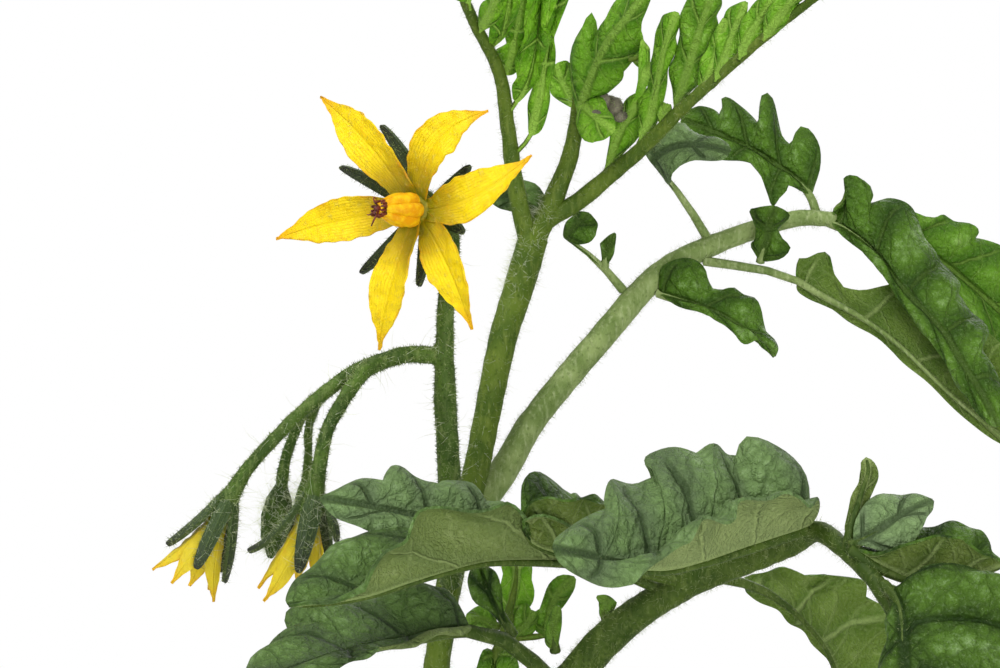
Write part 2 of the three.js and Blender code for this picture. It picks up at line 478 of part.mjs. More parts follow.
// A half-open flower hangs from its calyx: petals spread from a tube, and sepals clasp them from outside.
function hangingFlower({ base, axis, length, spread, sepals, turn }) {
  const [x, y, z] = across(axis);
  const ring = (count, offset, radius, height) => Array.from({ length: count }, (_, i) => {
    const a = THREE.MathUtils.degToRad(turn + offset + 360 * i / count);
    const out = x.clone().multiplyScalar(Math.cos(a)).addScaledVector(y, Math.sin(a));
    return { out, at: vec(base).addScaledVector(out, radius).addScaledVector(z, height) };
  });
  const point = ({ out }, radius, height) => vec(base).addScaledVector(out, radius).addScaledVector(z, height).toArray();
  const petals = ring(5, 36, 0, 0).map((place, i) => blade({
    base: point(place, 1.25, 2.6), middle: point(place, 2, length * 0.58),
    tip: point(place, spread * (0.95 + 0.2 * Math.sin(3.1 * i + turn)), length * (1.02 + 0.06 * Math.sin(2.3 * i))),
    width: 2.6, face: place.out.clone().negate().toArray(), fold: [18, 10], ...SMOOTH, outline: petalOutline,
  }));
  const tube = turned(point({ out: z }, 0, 2), axis, [[0, 1.1], [1.2, 1.5], [4.5, 1.7]], 8);
  const tubeRoom = turned(point({ out: z }, 0, 1.6), axis, [[0, 1.5], [1.4, 2], [8, 2.3]], 10);
  const green = ring(sepals, 0, 0, 0).map((place, i) => blade({
    base: point(place, 1.4, 0.7), middle: point(place, 3.4, length * 0.3),
    tip: point(place, spread * (1.05 + 0.22 * Math.sin(1.7 * i + turn)), length * (0.68 + 0.05 * Math.sin(2.9 * i))),
    width: 1.9, face: place.out.toArray(), fold: [-15, -5], ...SMOOTH, outline: sepalOutline,
  }));
  const cup = turned(base, axis, [[-0.6, 0.9], [0.4, 1.7], [1.6, 2.1]], 8);
  return { corolla: fuse([tube, ...petals]), calyx: fuse([cup, ...green]).subtract(tubeRoom) };
}

function bud({ base, tip, radius }) {
  const axis = vec(tip).sub(vec(base));
  const length = axis.length();
  const profile = [[-0.4, 0.5], [length * 0.18, radius * 0.8], [length * 0.42, radius], [length * 0.72, radius * 0.8],
    [length, 0.25]];
  return turned(base, axis.toArray(), profile, 10, 0.12, 5);
}

// ---- Pot and soil ----
// A LatheGeometry stood on end, as a solid.
function lathe(profile, sides) {
  const g = new THREE.LatheGeometry(profile.map(([r, z]) => new THREE.Vector2(r, z)), sides).rotateX(Math.PI / 2);
  const made = solid(g);
  return made.volume() > 0 ? made : solid(g.setIndex(Array.from(g.index.array).reverse()));
}

// The inner radius of the pot's wall at a height.
const innerRadius = (z) => mix(POT.footRadius, POT.bodyRadius, (z - POT.floor) / (POT.height - POT.floor)) - POT.wall + 2;

function pot() {
  const p = POT;
  const rimFoot = p.height - p.rimHeight;
  const bodyTop = mix(p.footRadius, p.bodyRadius, rimFoot / p.height);
  const shell = lathe([
    [0, 0], [p.footRadius - p.bevel, 0], [p.footRadius, p.bevel], [bodyTop, rimFoot - 1],
    [p.rimRadius - p.rimFlare - 1, rimFoot],
    [p.rimRadius - p.rimFlare, rimFoot + 1.5], [p.rimRadius, p.height - p.bevel], [p.rimRadius - 1.2, p.height],
    [innerRadius(p.height) + 2.4, p.height], [innerRadius(p.height), p.height - 2.4], [innerRadius(p.floor), p.floor],
    [0, p.floor],
  ], p.sides);
  const hole = new THREE.CylinderGeometry(p.holeRadius, p.holeRadius, 3 * p.floor, 14).rotateX(Math.PI / 2);
  const holes = Array.from({ length: p.holes }, (_, i) => {
    const a = 2 * Math.PI * i / p.holes;
    return solid(hole.clone().translate(p.holeCircle * Math.cos(a), p.holeCircle * Math.sin(a), 0));
  });
  return shell.subtract(fuse(holes));
}

// The soil's surface: a low mound round the stem with lumps.
function soilHeight(x, y) {
  const r = Math.hypot(x, y);
  const lumps = Math.sin(0.31 * x + 1.7) * Math.cos(0.27 * y - 0.6) + 0.6 * Math.sin(0.53 * x - 0.41 * y);
  return SOIL.top + SOIL.crown * Math.exp(-r * r / 500) + SOIL.lump * lumps;
}

function soil() {
  const wall = (z) => innerRadius(z) - GAP;
  const topRadius = wall(SOIL.top - 4);
  const most = SOIL.rings - 1;
  const rings = Array.from({ length: SOIL.rings }, (_, i) => [topRadius * (most - i) / most, SOIL.top]);
  const g = new THREE.LatheGeometry([[0, POT.floor + GAP], [wall(POT.floor) - 0.2, POT.floor + GAP], ...rings]
    .map(([r, z]) => new THREE.Vector2(r, z)), SOIL.sides).rotateX(Math.PI / 2);
  const place = g.attributes.position;
  for (let i = 0; i < place.count; i++) {
    if (place.getZ(i) > SOIL.top - 1) place.setZ(i, soilHeight(place.getX(i), place.getY(i)));
  }
  const bulk = solid(g);
  const body = bulk.volume() > 0 ? bulk : solid(g.setIndex(Array.from(g.index.array).reverse()));
  const radius = STEM_RADII[0] + 2 * GAP;
  const hole = new THREE.CylinderGeometry(radius, radius, 60, 16).rotateX(Math.PI / 2);
  return body.subtract(solid(hole.translate(0, 0, STEM[0][2] - GAP + 30)));
}

// ---- The whole plant ----
const GREEN = { stem: 0x5f7f2c, leaf: 0x3f6b24, young: 0x5f9426, truss: 0x45651f };
const YELLOW = { petal: 0xf2c70c, cone: 0xf0ac0a };

const plant = new THREE.Group();
plant.add(mesh('pot', pot(), 0xb5683f, 0.9));
plant.add(mesh('soil', soil(), 0x3a2a1e, 1));

const stemSolid = fuse([stalk(STEM, STEM_RADII, 9, 22), stalk(SHOOT, SHOOT_RADII, 7, 5)]);
const endRooms = [[STEM, STEM_RADII], [SHOOT, SHOOT_RADII]]
  .map(([route, radii]) => ball(route.at(-1), new Array(3).fill(radii.at(-1) + 1.4 * GAP), 12));
const stemRoom = fuse([stalk(STEM, STEM_RADII, 9, 22, 1.1 * GAP), stalk(SHOOT, SHOOT_RADII, 7, 5, 1.1 * GAP),
  ...endRooms]);
plant.add(mesh('main_stem', stemSolid, GREEN.stem));

LOWER_LEAVES.forEach((leaf, i) => {
  plant.add(mesh(`leaf_lower_${i + 1}`, largest(leafSolid(lowerLeaf(leaf, i)).subtract(stemRoom)), GREEN.leaf));
});
for (const [name, leaf] of Object.entries(NEAR_LEAVES)) {
  const colour = name === 'leaf_front' || name === 'leaf_right' ? GREEN.leaf : GREEN.young;
  plant.add(mesh(name, largest(leafSolid(leaf).subtract(stemRoom)), colour));
}

const open = openFlower();
const hanging = Object.fromEntries(Object.entries(HANGING_FLOWERS).map(([side, spec]) => [side, hangingFlower(spec)]));
const truss = fuse([
  ...TRUSS_STEMS.map(({ route, radii }) => stalk(route, radii, radii[0] > 1 ? 6 : 5, route.length + 1)),
  open.calyx, hanging.left.calyx, hanging.right.calyx, ...BUDS.map(bud),
]);
plant.add(mesh('truss', largest(truss.subtract(stemRoom)), GREEN.truss));
plant.add(mesh('corolla_open', open.corolla, YELLOW.petal, 0.5));
plant.add(mesh('anther_cone', open.cone, YELLOW.cone, 0.5));
plant.add(mesh('corolla_left', hanging.left.corolla, YELLOW.petal, 0.5));
plant.add(mesh('corolla_right', hanging.right.corolla, YELLOW.petal, 0.5));

export default plant;
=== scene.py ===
"""A young tomato plant in flower, in a plain clay pot of soil.

The tables and the modelling are in millimetres, with +Z up and the open flower facing -Y. Each finished
mesh is scaled to metres once, by settle(). The leaflets by the flower are drawn as outlines over the
photograph, and in_space() places them. Everything else is given by its place and size.
"""
import math

import bpy
import numpy as np
from mathutils import Matrix, Vector, noise


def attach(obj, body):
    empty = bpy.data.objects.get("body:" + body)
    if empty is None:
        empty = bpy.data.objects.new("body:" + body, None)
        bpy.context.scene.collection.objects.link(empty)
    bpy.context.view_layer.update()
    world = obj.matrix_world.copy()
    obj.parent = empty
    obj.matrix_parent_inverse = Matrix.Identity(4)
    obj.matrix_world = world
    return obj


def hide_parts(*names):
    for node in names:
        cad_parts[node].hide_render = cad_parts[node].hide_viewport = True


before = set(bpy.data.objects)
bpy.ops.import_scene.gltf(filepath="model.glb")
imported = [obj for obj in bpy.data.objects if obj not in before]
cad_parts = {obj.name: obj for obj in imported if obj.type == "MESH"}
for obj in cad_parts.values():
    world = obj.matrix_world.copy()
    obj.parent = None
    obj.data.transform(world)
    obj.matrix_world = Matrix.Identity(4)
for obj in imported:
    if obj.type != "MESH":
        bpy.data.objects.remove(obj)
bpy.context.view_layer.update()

bpy.ops.object.select_all(action="DESELECT")

# ---- Sizes, in millimetres where nothing else is said ----
METRE = 0.001
CAMERA = dict(place=[6, -330, 335], lens=100, sensor=36)
PICTURE = dict(width=1000, height=668)  # in pixels
LEAF_THICKNESS = 0.32
PETAL_THICKNESS = 0.22
SEPAL_THICKNESS = 0.5
STALK_WIDTH = 1.3
SMALL_LEAFLET = dict(lobes=2, cut=0.3, bare=0.2, stalk=0.9)
SWEEP = 0.45  # how far a leaf's edge runs forward for each millimetre out from its midrib
VEIN_START = 0.2  # where the first side vein leaves the midrib, in lobes
VEIN_LEAN = 0.38  # how far a side vein runs forward from midrib to edge, in lobes
ROLL_FROM = 0.5  # how far out on its left half a blade can start to roll up, as a share
ROLL_TURN = 165  # how far a rolled edge turns over, in degrees
HAIRY_FROM = 285  # the height above which the stem has long hairs too
FORK_HEIGHT = 347  # where the stem forks
CALYX_TOP = 325  # below it are the hanging flowers' calyxes, and above it the open flower's
POT = dict(
    height=125, foot=48, body=62, rim=70, rim_height=27, flare=2, wall=5.5, floor=8,
    holes=3, hole=5, hole_circle=26,
)
SOIL = dict(top=107, crown=3, lump=1.3)
CRUMBS = [(620, 0.5, 1.5, 0), (70, 1.4, 2.6, 0), (70, 0.8, 1.9, 2)]  # how many, their sizes, finish
FIBRES = 46
FLOOR = dict(radius=1800, height=-0.2, fade_from=700, fade_to=1700)
LAMPS = dict(  # power in watts
    key=dict(place=[-400, -350, 1150], size=350, power=6.5),
    back=dict(place=[350, 800, 800], size=500, power=4),
    fill=dict(place=[200, -900, 300], size=600, power=5),
)
LAMPS_AIM = [10, 0, 320]
SURROUND_LIGHT = 0.62  # how strongly the white surround lights, next to how bright it looks

STEM = [
    [0, 0, 74], [0, 0, 108], [-1.5, 1, 150], [-3.5, 1.5, 200], [-4.5, 0.5, 250], [-3.5, 0, 280],
    [-1.6, 0, 295], [0.2, 0, 306.5], [3.2, 1, 319], [4.6, 3, 326], [6.5, 5, 335], [8.4, 7, 341],
    [10, 8, 346.5],
]
STEM_RADII = [3.6, 3.6, 3.4, 3.2, 2.95, 2.7, 2.55, 2.3, 1.75, 1.6, 1.55, 1.6, 1.9]
SHOOT = [
    [8.4, 7, 341], [9.9, 8, 346.2], [11.9, 9, 350], [14.2, 9, 355.6], [15.2, 9, 360], [15.6, 8, 364.1],
]
SHOOT_RADII = [1.4, 1.55, 1.35, 1.15, 1.0, 0.8]


# ---- Finishes ----
def paint(code):
    """The linear colour of a hex code."""
    parts = [int(code[i:i + 2], 16) / 255 for i in (0, 2, 4)]
    return [p / 12.92 if p <= 0.04045 else ((p + 0.055) / 1.055) ** 2.4 for p in parts] + [1.0]


class Wire:
    """A shader socket. Arithmetic on it adds Math nodes."""

    def __init__(self, finish, socket):
        self.finish = finish
        self.socket = socket

    def __add__(self, other):
        return self.finish.math("ADD", self, other)

    def __radd__(self, other):
        return self.finish.math("ADD", other, self)

    def __sub__(self, other):
        return self.finish.math("SUBTRACT", self, other)

    def __rsub__(self, other):
        return self.finish.math("SUBTRACT", other, self)

    def __mul__(self, other):
        return self.finish.math("MULTIPLY", self, other)

    def __rmul__(self, other):
        return self.finish.math("MULTIPLY", other, self)

    def __abs__(self):
        return self.finish.math("ABSOLUTE", self)


class Finish:
    """One material, built up node by node."""

    def __init__(self, name):
        self.material = bpy.data.materials.new(name)
        self.material.use_nodes = True
        self.tree = self.material.node_tree
        self.tree.nodes.clear()

    def node(self, kind, settings=None, inputs=None, result=0):
        made = self.tree.nodes.new(kind)
        for key, value in (settings or {}).items():
            if key == "stops":
                ramp = made.color_ramp
                while len(ramp.elements) < len(value):
                    ramp.elements.new(0.5)
                for element, (place, colour) in zip(ramp.elements, value):
                    element.position = place
                    element.color = colour
            else:
                setattr(made, key, value)
        for key, value in (inputs or {}).items():
            if isinstance(value, Wire):
                self.tree.links.new(value.socket, made.inputs[key])
            else:
                made.inputs[key].default_value = value
        return Wire(self, made.outputs[result]) if len(made.outputs) else None

    def math(self, operation, *values):
        return self.node("ShaderNodeMath", {"operation": operation}, dict(enumerate(values)))

    def mix(self, factor, first, second):
        return self.node("ShaderNodeMix", {"data_type": "RGBA"}, {0: factor, 6: first, 7: second}, 2)

    def ramp(self, value, stops):
        return self.node("ShaderNodeValToRGB", {"stops": stops}, {0: value})

    def ease(self, value, low, high):
        """0 below low, 1 above high, and smooth between them."""
        smooth = {"interpolation_type": "SMOOTHSTEP"}
        return self.node("ShaderNodeMapRange", smooth, {0: value, 1: low, 2: high})

    def place(self):
        """The place on the piece, in millimetres."""
        spot = self.node("ShaderNodeTexCoord", result="Object")
        return self.node("ShaderNodeVectorMath", {"operation": "SCALE"}, {0: spot, "Scale": 1 / METRE})

    def stretch(self, spot, scale):
        return self.node("ShaderNodeVectorMath", {"operation": "MULTIPLY"}, {0: spot, 1: scale})

    def parts(self, vector):
        split = self.node("ShaderNodeSeparateXYZ", inputs={0: vector}).socket.node
        return [Wire(self, out) for out in split.outputs]

    def noise(self, spot, scale, detail=3.0, rough=0.55, twist=0.0):
        inputs = {"Vector": spot, "Scale": scale, "Detail": detail, "Roughness": rough}
        inputs["Distortion"] = twist
        return self.node("ShaderNodeTexNoise", inputs=inputs)

    def cells(self, spot, scale, feature="F1"):
        return self.node("ShaderNodeTexVoronoi", {"feature": feature}, {"Vector": spot, "Scale": scale})

    def bump(self, height, distance, strength):
        inputs = {"Height": height, "Distance": distance * METRE, "Strength": strength}
        return self.node("ShaderNodeBump", inputs=inputs)

    def surface(self, **inputs):
        named = {}
        for key, value in inputs.items():
            named[key.replace("_", " ").title().replace("Ior", "IOR")] = value
        return self.node("ShaderNodeBsdfPrincipled", inputs=named)

    def finish(self, shader, glow=None, share=0.0):
        """Ends the material. glow is the colour of the light that comes through a thin piece, and share
        its part."""
        if glow is not None:
            through = self.node("ShaderNodeBsdfTranslucent", inputs={"Color": glow})
            shader = self.node("ShaderNodeMixShader", inputs={0: share, 1: shader, 2: through})
        self.node("ShaderNodeOutputMaterial", inputs={"Surface": shader})
        return self.material


def leaf_finish(name, mature, young, veins, vein_share, relief, painted_sheen_share, pale_and_lit_share, roughness, glow, share):
    """The upper or under side of a leaf, with its midrib, side veins and net of fine veins. Young leaves
    are brighter. Its colour holds painted shade in the hollows along the veins and the fine net, lighter
    painted bulges between them, a painted sheen on their crests and, on the upper side, painted shadow in
    the vein grooves. A leaf whose age is below 0 is paler: partly its own pale tone, partly painted light."""
    f = Finish(name)
    spot = f.place()
    lobe, across = f.parts(f.node("ShaderNodeUVMap", {"uv_map": "leaf"}))[:2]
    growth = f.node("ShaderNodeAttribute", {"attribute_name": "growth"}, result="Vector")
    age, out, pitch = f.parts(growth)
    # Below an age of 0 a leaf is paler: partly its own pale tone, partly painted light where it is
    # strongly lit.
    pale_and_lit = f.math("MAXIMUM", 0 - age, 0.0)
    side = abs(across)
    wander = (f.noise(spot, 0.35, 2.0) - 0.5) * 0.16
    run = lobe + wander
    gap = f.math("PINGPONG", run, 0.5) * pitch
    side_vein = (1 - f.ease(gap, 0.08, 0.5)) * f.ease(1.05 - side, 0.0, 0.35)
    branch_run = run + side * 0.93 + wander
    branch_gap = f.math("PINGPONG", branch_run * 2.0, 0.5) * pitch * 0.5
    branch = (1 - f.ease(branch_gap, 0.05, 0.32)) * 0.45
    rib = 1 - f.ease(abs(out), 0.25, 0.75)
    # Painted shade and light: 0 in the hollows along the side veins and midrib, 1 on the bulges between
    # them.
    painted_bulge_light = f.ease(f.math("PINGPONG", run, 0.5) * 2.0, 0.06, 0.85) * f.ease(side, 0.0, 0.3)
    net_gap = f.cells(spot, 0.62, "DISTANCE_TO_EDGE")
    net = 1 - f.ease(net_gap, 0.0, 0.16)
    puff = f.ease(net_gap, 0.02, 0.42)
    fine_net = 1 - f.ease(f.cells(spot, 1.9, "DISTANCE_TO_EDGE"), 0.0, 0.22)
    main = f.math("MAXIMUM", rib, side_vein)
    lines = f.math("MAXIMUM", f.math("MAXIMUM", main, branch), net * 0.22)
    clouds = f.ease(f.noise(spot, 0.13, 3.0, 0.6), 0.36, 0.64)
    specks = f.noise(spot, 2.6, 3.0, 0.75)
    # How light the colour is: painted shade in the vein hollows and the fine net's hollows, lighter
    # painted bulges and puffs, and a random cloudy tone.
    light = painted_bulge_light * 0.45 + clouds * 0.15 + puff * 0.15 + 0.09
    grown = f.mix(light, paint(mature[0]), paint(mature[1]))
    fresh = f.mix(light, paint(young[0]), paint(young[1]))
    # Painted sheen: a pale highlight on the lightest crests, in the palest colour.
    painted_sheen = f.ease(light + (specks - 0.5) * 0.5, 0.58, 1.05) * painted_sheen_share
    blade = f.mix(age, f.mix(painted_sheen, grown, paint(mature[2])), f.mix(painted_sheen, fresh, paint(young[2])))
    blade = f.mix(f.ease(specks, 0.5, 0.8) * 0.3, blade, f.mix(age, paint(mature[2]), paint(young[2])))
    # Paler leaves, mixed towards the palest colour: partly pale tone, partly painted light.
    blade = f.mix(pale_and_lit * pale_and_lit_share, blade, paint(mature[2]))
    # The vein colour: on the upper side a dark painted shadow in the vein grooves, on the underside the
    # veins' own pale colour.
    blade = f.mix(lines * vein_share, blade, f.mix(age, paint(veins[0]), paint(veins[1])))
    height = lines * relief + puff * abs(relief) * 0.45 - fine_net * 0.25 + specks * 0.3
    normal = f.bump(height, 0.4, 0.85)
    rough = roughness + specks * 0.14 - main * 0.05
    body = f.surface(base_color=blade, roughness=rough, normal=normal, specular_ior_level=0.12)
    return f.finish(body, paint(glow), share)


def stalk_finish(name, dark, light, pale, share=0.12):
    """A green stem: mottled, finely grained along its length, with the small raised feet of its hairs."""
    f = Finish(name)
    spot = f.place()
    patches = f.ease(f.noise(spot, 0.22, 4.0), 0.32, 0.68)
    grain = f.noise(f.stretch(spot, [1.6, 1.6, 0.3]), 1.3, 3.0, 0.65)
    feet = f.cells(spot, 1.5)
    dots = 1 - f.ease(feet, 0.1, 0.34)
    colour = f.mix(patches, paint(dark), paint(light))
    colour = f.mix(f.ease(grain, 0.45, 0.75) * 0.55, colour, paint(pale))
    colour = f.mix(dots * 0.5, colour, paint(dark))
    normal = f.bump(grain * 0.5 + dots * 0.8, 0.14, 0.7)
    rough = 0.5 + grain * 0.2
    body = f.surface(base_color=colour, roughness=rough, normal=normal, specular_ior_level=0.18)
    return f.finish(body, paint("94b43a"), share)


def hair_finish(name, dark, light, glow, share):
    """Hairs, in two tones that light shines through."""
    f = Finish(name)
    tone = f.noise(f.place(), 0.8, 2.0)
    colour = f.mix(f.ease(tone, 0.3, 0.7), paint(dark), paint(light))
    body = f.surface(base_color=colour, roughness=0.5 + tone * 0.2, specular_ior_level=0.25)
    return f.finish(body, paint(glow), share)


def petal_finish(name, base, middle, tip, crease):
    """A petal from its greenish base to its deeper tip, with fine lengthwise veins and a crumpled, darker
    edge. Darker ochre patches are painted shade of its crumples, and pale ones painted highlights on them."""
    f = Finish(name)
    spot = f.place()
    along, across = f.parts(f.node("ShaderNodeUVMap", {"uv_map": "leaf"}))[:2]
    side = abs(across)
    soft = f.noise(spot, 0.55, 4.0, 0.6)
    colour = f.ramp(along + (soft - 0.5) * 0.16, [
        (0.06, paint(base)), (0.26, paint(crease)), (0.44, paint(middle)), (0.8, paint(middle)),
        (1.0, paint(tip)),
    ])
    veins = f.math("PINGPONG", across * 7.0 + (soft - 0.5) * 1.2, 0.5)
    veins = (1 - f.ease(veins, 0.02, 0.2)) * f.ease(1.2 - along, 0.1, 0.9)
    colour = f.mix(veins * 0.2, colour, paint(crease))
    # Painted shade: darker ochre patches where the petal crumples, which the same noise also raises.
    folds = f.noise(f.stretch(spot, [1.0, 1.0, 0.8]), 0.8, 4.0, 0.65, 0.6)
    colour = f.mix(f.ease(folds, 0.5, 0.7) * 0.4, colour, paint("e0a800"))
    # Painted highlight: pale patches on the crumples, which the same noise also raises.
    crumple_highlight = f.ease(f.noise(spot, 1.7, 4.0, 0.7, 0.4), 0.54, 0.74)
    colour = f.mix(crumple_highlight * 0.4, colour, paint("fff178"))
    edge = f.ease(side + (soft - 0.5) * 0.3, 0.84, 1.02) * f.ease(f.noise(spot, 0.9, 3.0), 0.42, 0.62)
    colour = f.mix(edge * 0.5, colour, paint("d98a12"))
    middle_line = 1 - f.ease(side, 0.0, 0.08)
    grain = f.noise(spot, 5.0, 2.0, 0.7)
    height = veins * 0.25 - middle_line * 0.6 + crumple_highlight * 0.5 + folds * 1.4 + grain * 0.2
    normal = f.bump(height, 0.22, 0.9)
    rough = 0.36 + grain * 0.2
    body = f.surface(base_color=colour, roughness=rough, normal=normal, specular_ior_level=0.3)
    return f.finish(body, paint("f8e800"), 0.25)


def anther_finish():
    """Deep yellow with a fine, paler grain."""
    f = Finish("anther")
    spot = f.place()
    soft = f.noise(spot, 0.9, 3.0)
    grain = f.noise(spot, 6.0, 2.0)
    colour = f.mix(f.ease(soft, 0.35, 0.7), paint("e49e00"), paint("f6cc10"))
    colour = f.mix(f.ease(grain, 0.5, 0.8) * 0.4, colour, paint("ffdb55"))
    normal = f.bump(grain + soft, 0.06, 0.8)
    rough = 0.42 + grain * 0.15
    body = f.surface(base_color=colour, roughness=rough, normal=normal, specular_ior_level=0.25)
    return f.finish(body, paint("f0a008"), 0.12)


def speckled_finish(name, dark, light, scale, roughness, depth):
    """A matt natural surface in two colours."""
    f = Finish(name)
    spot = f.place()
    broad = f.noise(spot, scale, 5.0, 0.6)
    grain = f.noise(spot, scale * 7, 3.0, 0.7)
    colour = f.mix(f.ease(broad, 0.3, 0.7), paint(dark), paint(light))
    colour = f.mix(f.ease(grain, 0.45, 0.8) * 0.5, colour, paint(dark))
    normal = f.bump(broad + grain * 0.6, depth, 0.9)
    return f.finish(f.surface(base_color=colour, roughness=roughness + grain * 0.1, normal=normal))


def clay_finish():
    """Fired clay: turning marks round it, a mottled body, pale lime bloom and a damp, darker foot."""
    f = Finish("fired_clay")
    spot = f.place()
    height = f.parts(spot)[2]
    cloud = f.noise(spot, 0.022, 5.0, 0.6)
    mottle = f.noise(spot, 0.11, 5.0, 0.65)
    grain = f.noise(spot, 1.1, 4.0, 0.7)
    turns = f.noise(f.stretch(spot, [0.02, 0.02, 1.0]), 0.55, 3.0, 0.6)
    colour = f.mix(f.ease(cloud, 0.35, 0.65), paint("a85a38"), paint("c07a52"))
    colour = f.mix(f.ease(mottle, 0.45, 0.75) * 0.5, colour, paint("b4613c"))
    colour = f.mix(f.ease(turns, 0.5, 0.75) * 0.3, colour, paint("cf9670"))
    damp = (1 - f.ease(height + (mottle - 0.5) * 30, 2.0, 26.0)) * 0.55
    colour = f.mix(damp, colour, paint("7f4530"))
    bloom = f.ease(mottle, 0.55, 0.72) * f.ease(cloud, 0.4, 0.66)
    colour = f.mix(bloom * 0.55, colour, paint("e2cbb6"))
    colour = f.mix(f.ease(grain, 0.6, 0.85) * 0.35, colour, paint("8f4a2e"))
    pits = 1 - f.ease(f.cells(spot, 0.42), 0.05, 0.2)
    relief = turns * 0.9 + grain * 0.35 - pits * 0.8
    rough = 0.82 + grain * 0.1 - damp * 0.2
    return f.finish(f.surface(base_color=colour, roughness=rough, normal=f.bump(relief, 0.45, 0.7)))


def soil_finish():
    """Dark, damp soil with lighter grains and painted shade in its hollows."""
    f = Finish("potting_soil")
    spot = f.place()
    broad = f.noise(spot, 0.09, 5.0, 0.65)
    grain = f.noise(spot, 0.9, 5.0, 0.75)
    lumps = f.cells(spot, 0.55)
    colour = f.mix(f.ease(broad, 0.35, 0.65), paint("2a1c13"), paint("49321f"))
    colour = f.mix(f.ease(grain, 0.5, 0.72) * 0.7, colour, paint("6a4c33"))
    # Painted shade: darker in the hollows between the lumps.
    colour = f.mix(f.ease(lumps, 0.35, 0.8) * 0.5, colour, paint("1c120c"))
    normal = f.bump(grain + (1 - lumps) * 0.8, 1.0, 0.9)
    return f.finish(f.surface(base_color=colour, roughness=0.88 + grain * 0.1, normal=normal))


def sepal_finish():
    """A hairy sepal: dark green, paler towards its base, with a nearly black tip."""
    f = Finish("sepal")
    spot = f.place()
    along, across = f.parts(f.node("ShaderNodeUVMap", {"uv_map": "leaf"}))[:2]
    soft = f.noise(spot, 0.7, 4.0, 0.65)
    grain = f.noise(spot, 4.0, 3.0, 0.7)
    colour = f.ramp(along + (soft - 0.5) * 0.2, [
        (0.0, paint("304816")), (0.4, paint("263c11")), (0.8, paint("1b290d")), (0.93, paint("0e110a")),
    ])
    veins = 1 - f.ease(f.math("PINGPONG", across * 2.0, 0.5), 0.03, 0.2)
    colour = f.mix(veins * 0.15, colour, paint("76904a"))
    colour = f.mix(f.ease(grain, 0.5, 0.8) * 0.5, colour, paint("5c7536"))
    normal = f.bump(grain + veins * 0.6, 0.12, 0.8)
    body = f.surface(base_color=colour, roughness=0.55 + grain * 0.15, normal=normal)
    return f.finish(body, paint("7f9a3a"), 0.08)


# On the upper side, mature's darkest colour is painted shade for the vein hollows and its palest both the
# pale specks' colour and the painted sheen; the dark first vein colour is painted shadow in the vein
# grooves.
LEAF_TOP = leaf_finish(
    "leaf_upper_side", mature=["142608", "5c802a", "98b082"], young=["34700a", "84c420", "b4dc5c"],
    veins=["16290a", "a8d058"], vein_share=0.62, relief=-1.4, painted_sheen_share=0.6, pale_and_lit_share=0.4, roughness=0.48,
    glow="8cc010", share=0.14,
)
# On the underside, mature's darkest colour is painted shade for the hollows and its palest both the
# specks' colour and the painted sheen; the pale veins are their own colour.
LEAF_UNDER = leaf_finish(
    "leaf_underside", mature=["465c22", "6e803a", "a9b682"], young=["4a8610", "7cb824", "a8d058"],
    veins=["9cae6e", "b4d06c"], vein_share=0.5, relief=1.0, painted_sheen_share=0.35, pale_and_lit_share=0.5, roughness=0.6,
    glow="86b31c", share=0.16,
)
STALK = stalk_finish("green_stalk", "3c5411", "576c1e", "77863c")
# A darker copy of the green stalk for the front leaf: painted shade, for a stalk that lies in shadow.
SHADED_STALK = stalk_finish("shaded_stalk", "2d420f", "45591d", "6d7c42")
# A paler, greyer copy of the green stalk for the right leaf: painted backlight.
BACKLIT_PALE_STALK = stalk_finish("backlit_pale_stalk", "667c3e", "8fa163", "b4c08e")
TRUSS_STALK = stalk_finish("truss_stalk", "2b4310", "4b6522", "7c8c50", 0.05)
SEPAL_GREEN = stalk_finish("sepal_green", "26390f", "44601d", "647c3a", 0.05)
HAIR = hair_finish("pale_hair", "c3cc9e", "eef1df", "e6ecc8", 0.4)
DOWN = hair_finish("green_down", "76894c", "b1bd86", "a9bb6c", 0.3)
BRISTLE = hair_finish("truss_bristle", "465a24", "9cac70", "80994a", 0.15)
PETAL = petal_finish("petal", "777a00", "f8dc08", "eeb000", "c4a604")
PETAL_FOLDED = petal_finish("petal_half_open", "8c9620", "e2ce2a", "dca810", "bcac18")
ANTHER = anther_finish()
ANTHER_TIP = speckled_finish("anther_tip", "3d0f06", "7d2a0c", 1.2, 0.5, 0.06)
BUD_GREEN = speckled_finish("young_bud", "454234", "7a7560", 0.8, 0.7, 0.12)
CLAY = clay_finish()
EARTH = soil_finish()
CRUMB = speckled_finish("soil_crumb", "2a1b12", "5a402a", 0.6, 0.9, 0.3)
FIBRE = speckled_finish("bark_fibre", "4f3420", "8a6643", 0.5, 0.85, 0.2)
PERLITE = speckled_finish("perlite", "cfcabf", "f3f0e8", 0.9, 0.8, 0.25)
SEPAL = sepal_finish()


# ---- Modelling ----
def unit(vectors):
    """Vectors, each made 1 long."""
    vectors = np.asarray(vectors, float)
    return vectors / np.maximum(np.linalg.norm(vectors, axis=-1, keepdims=True), 1e-9)


def spread(values, t):
    """A list spread evenly over 0 to 1, read at each t."""
    values = np.asarray(values, float)
    places = np.linspace(0, 1, len(values))
    if values.ndim == 1:
        return np.interp(t, places, values)
    return np.stack([np.interp(t, places, values[:, k]) for k in range(values.shape[1])], axis=-1)


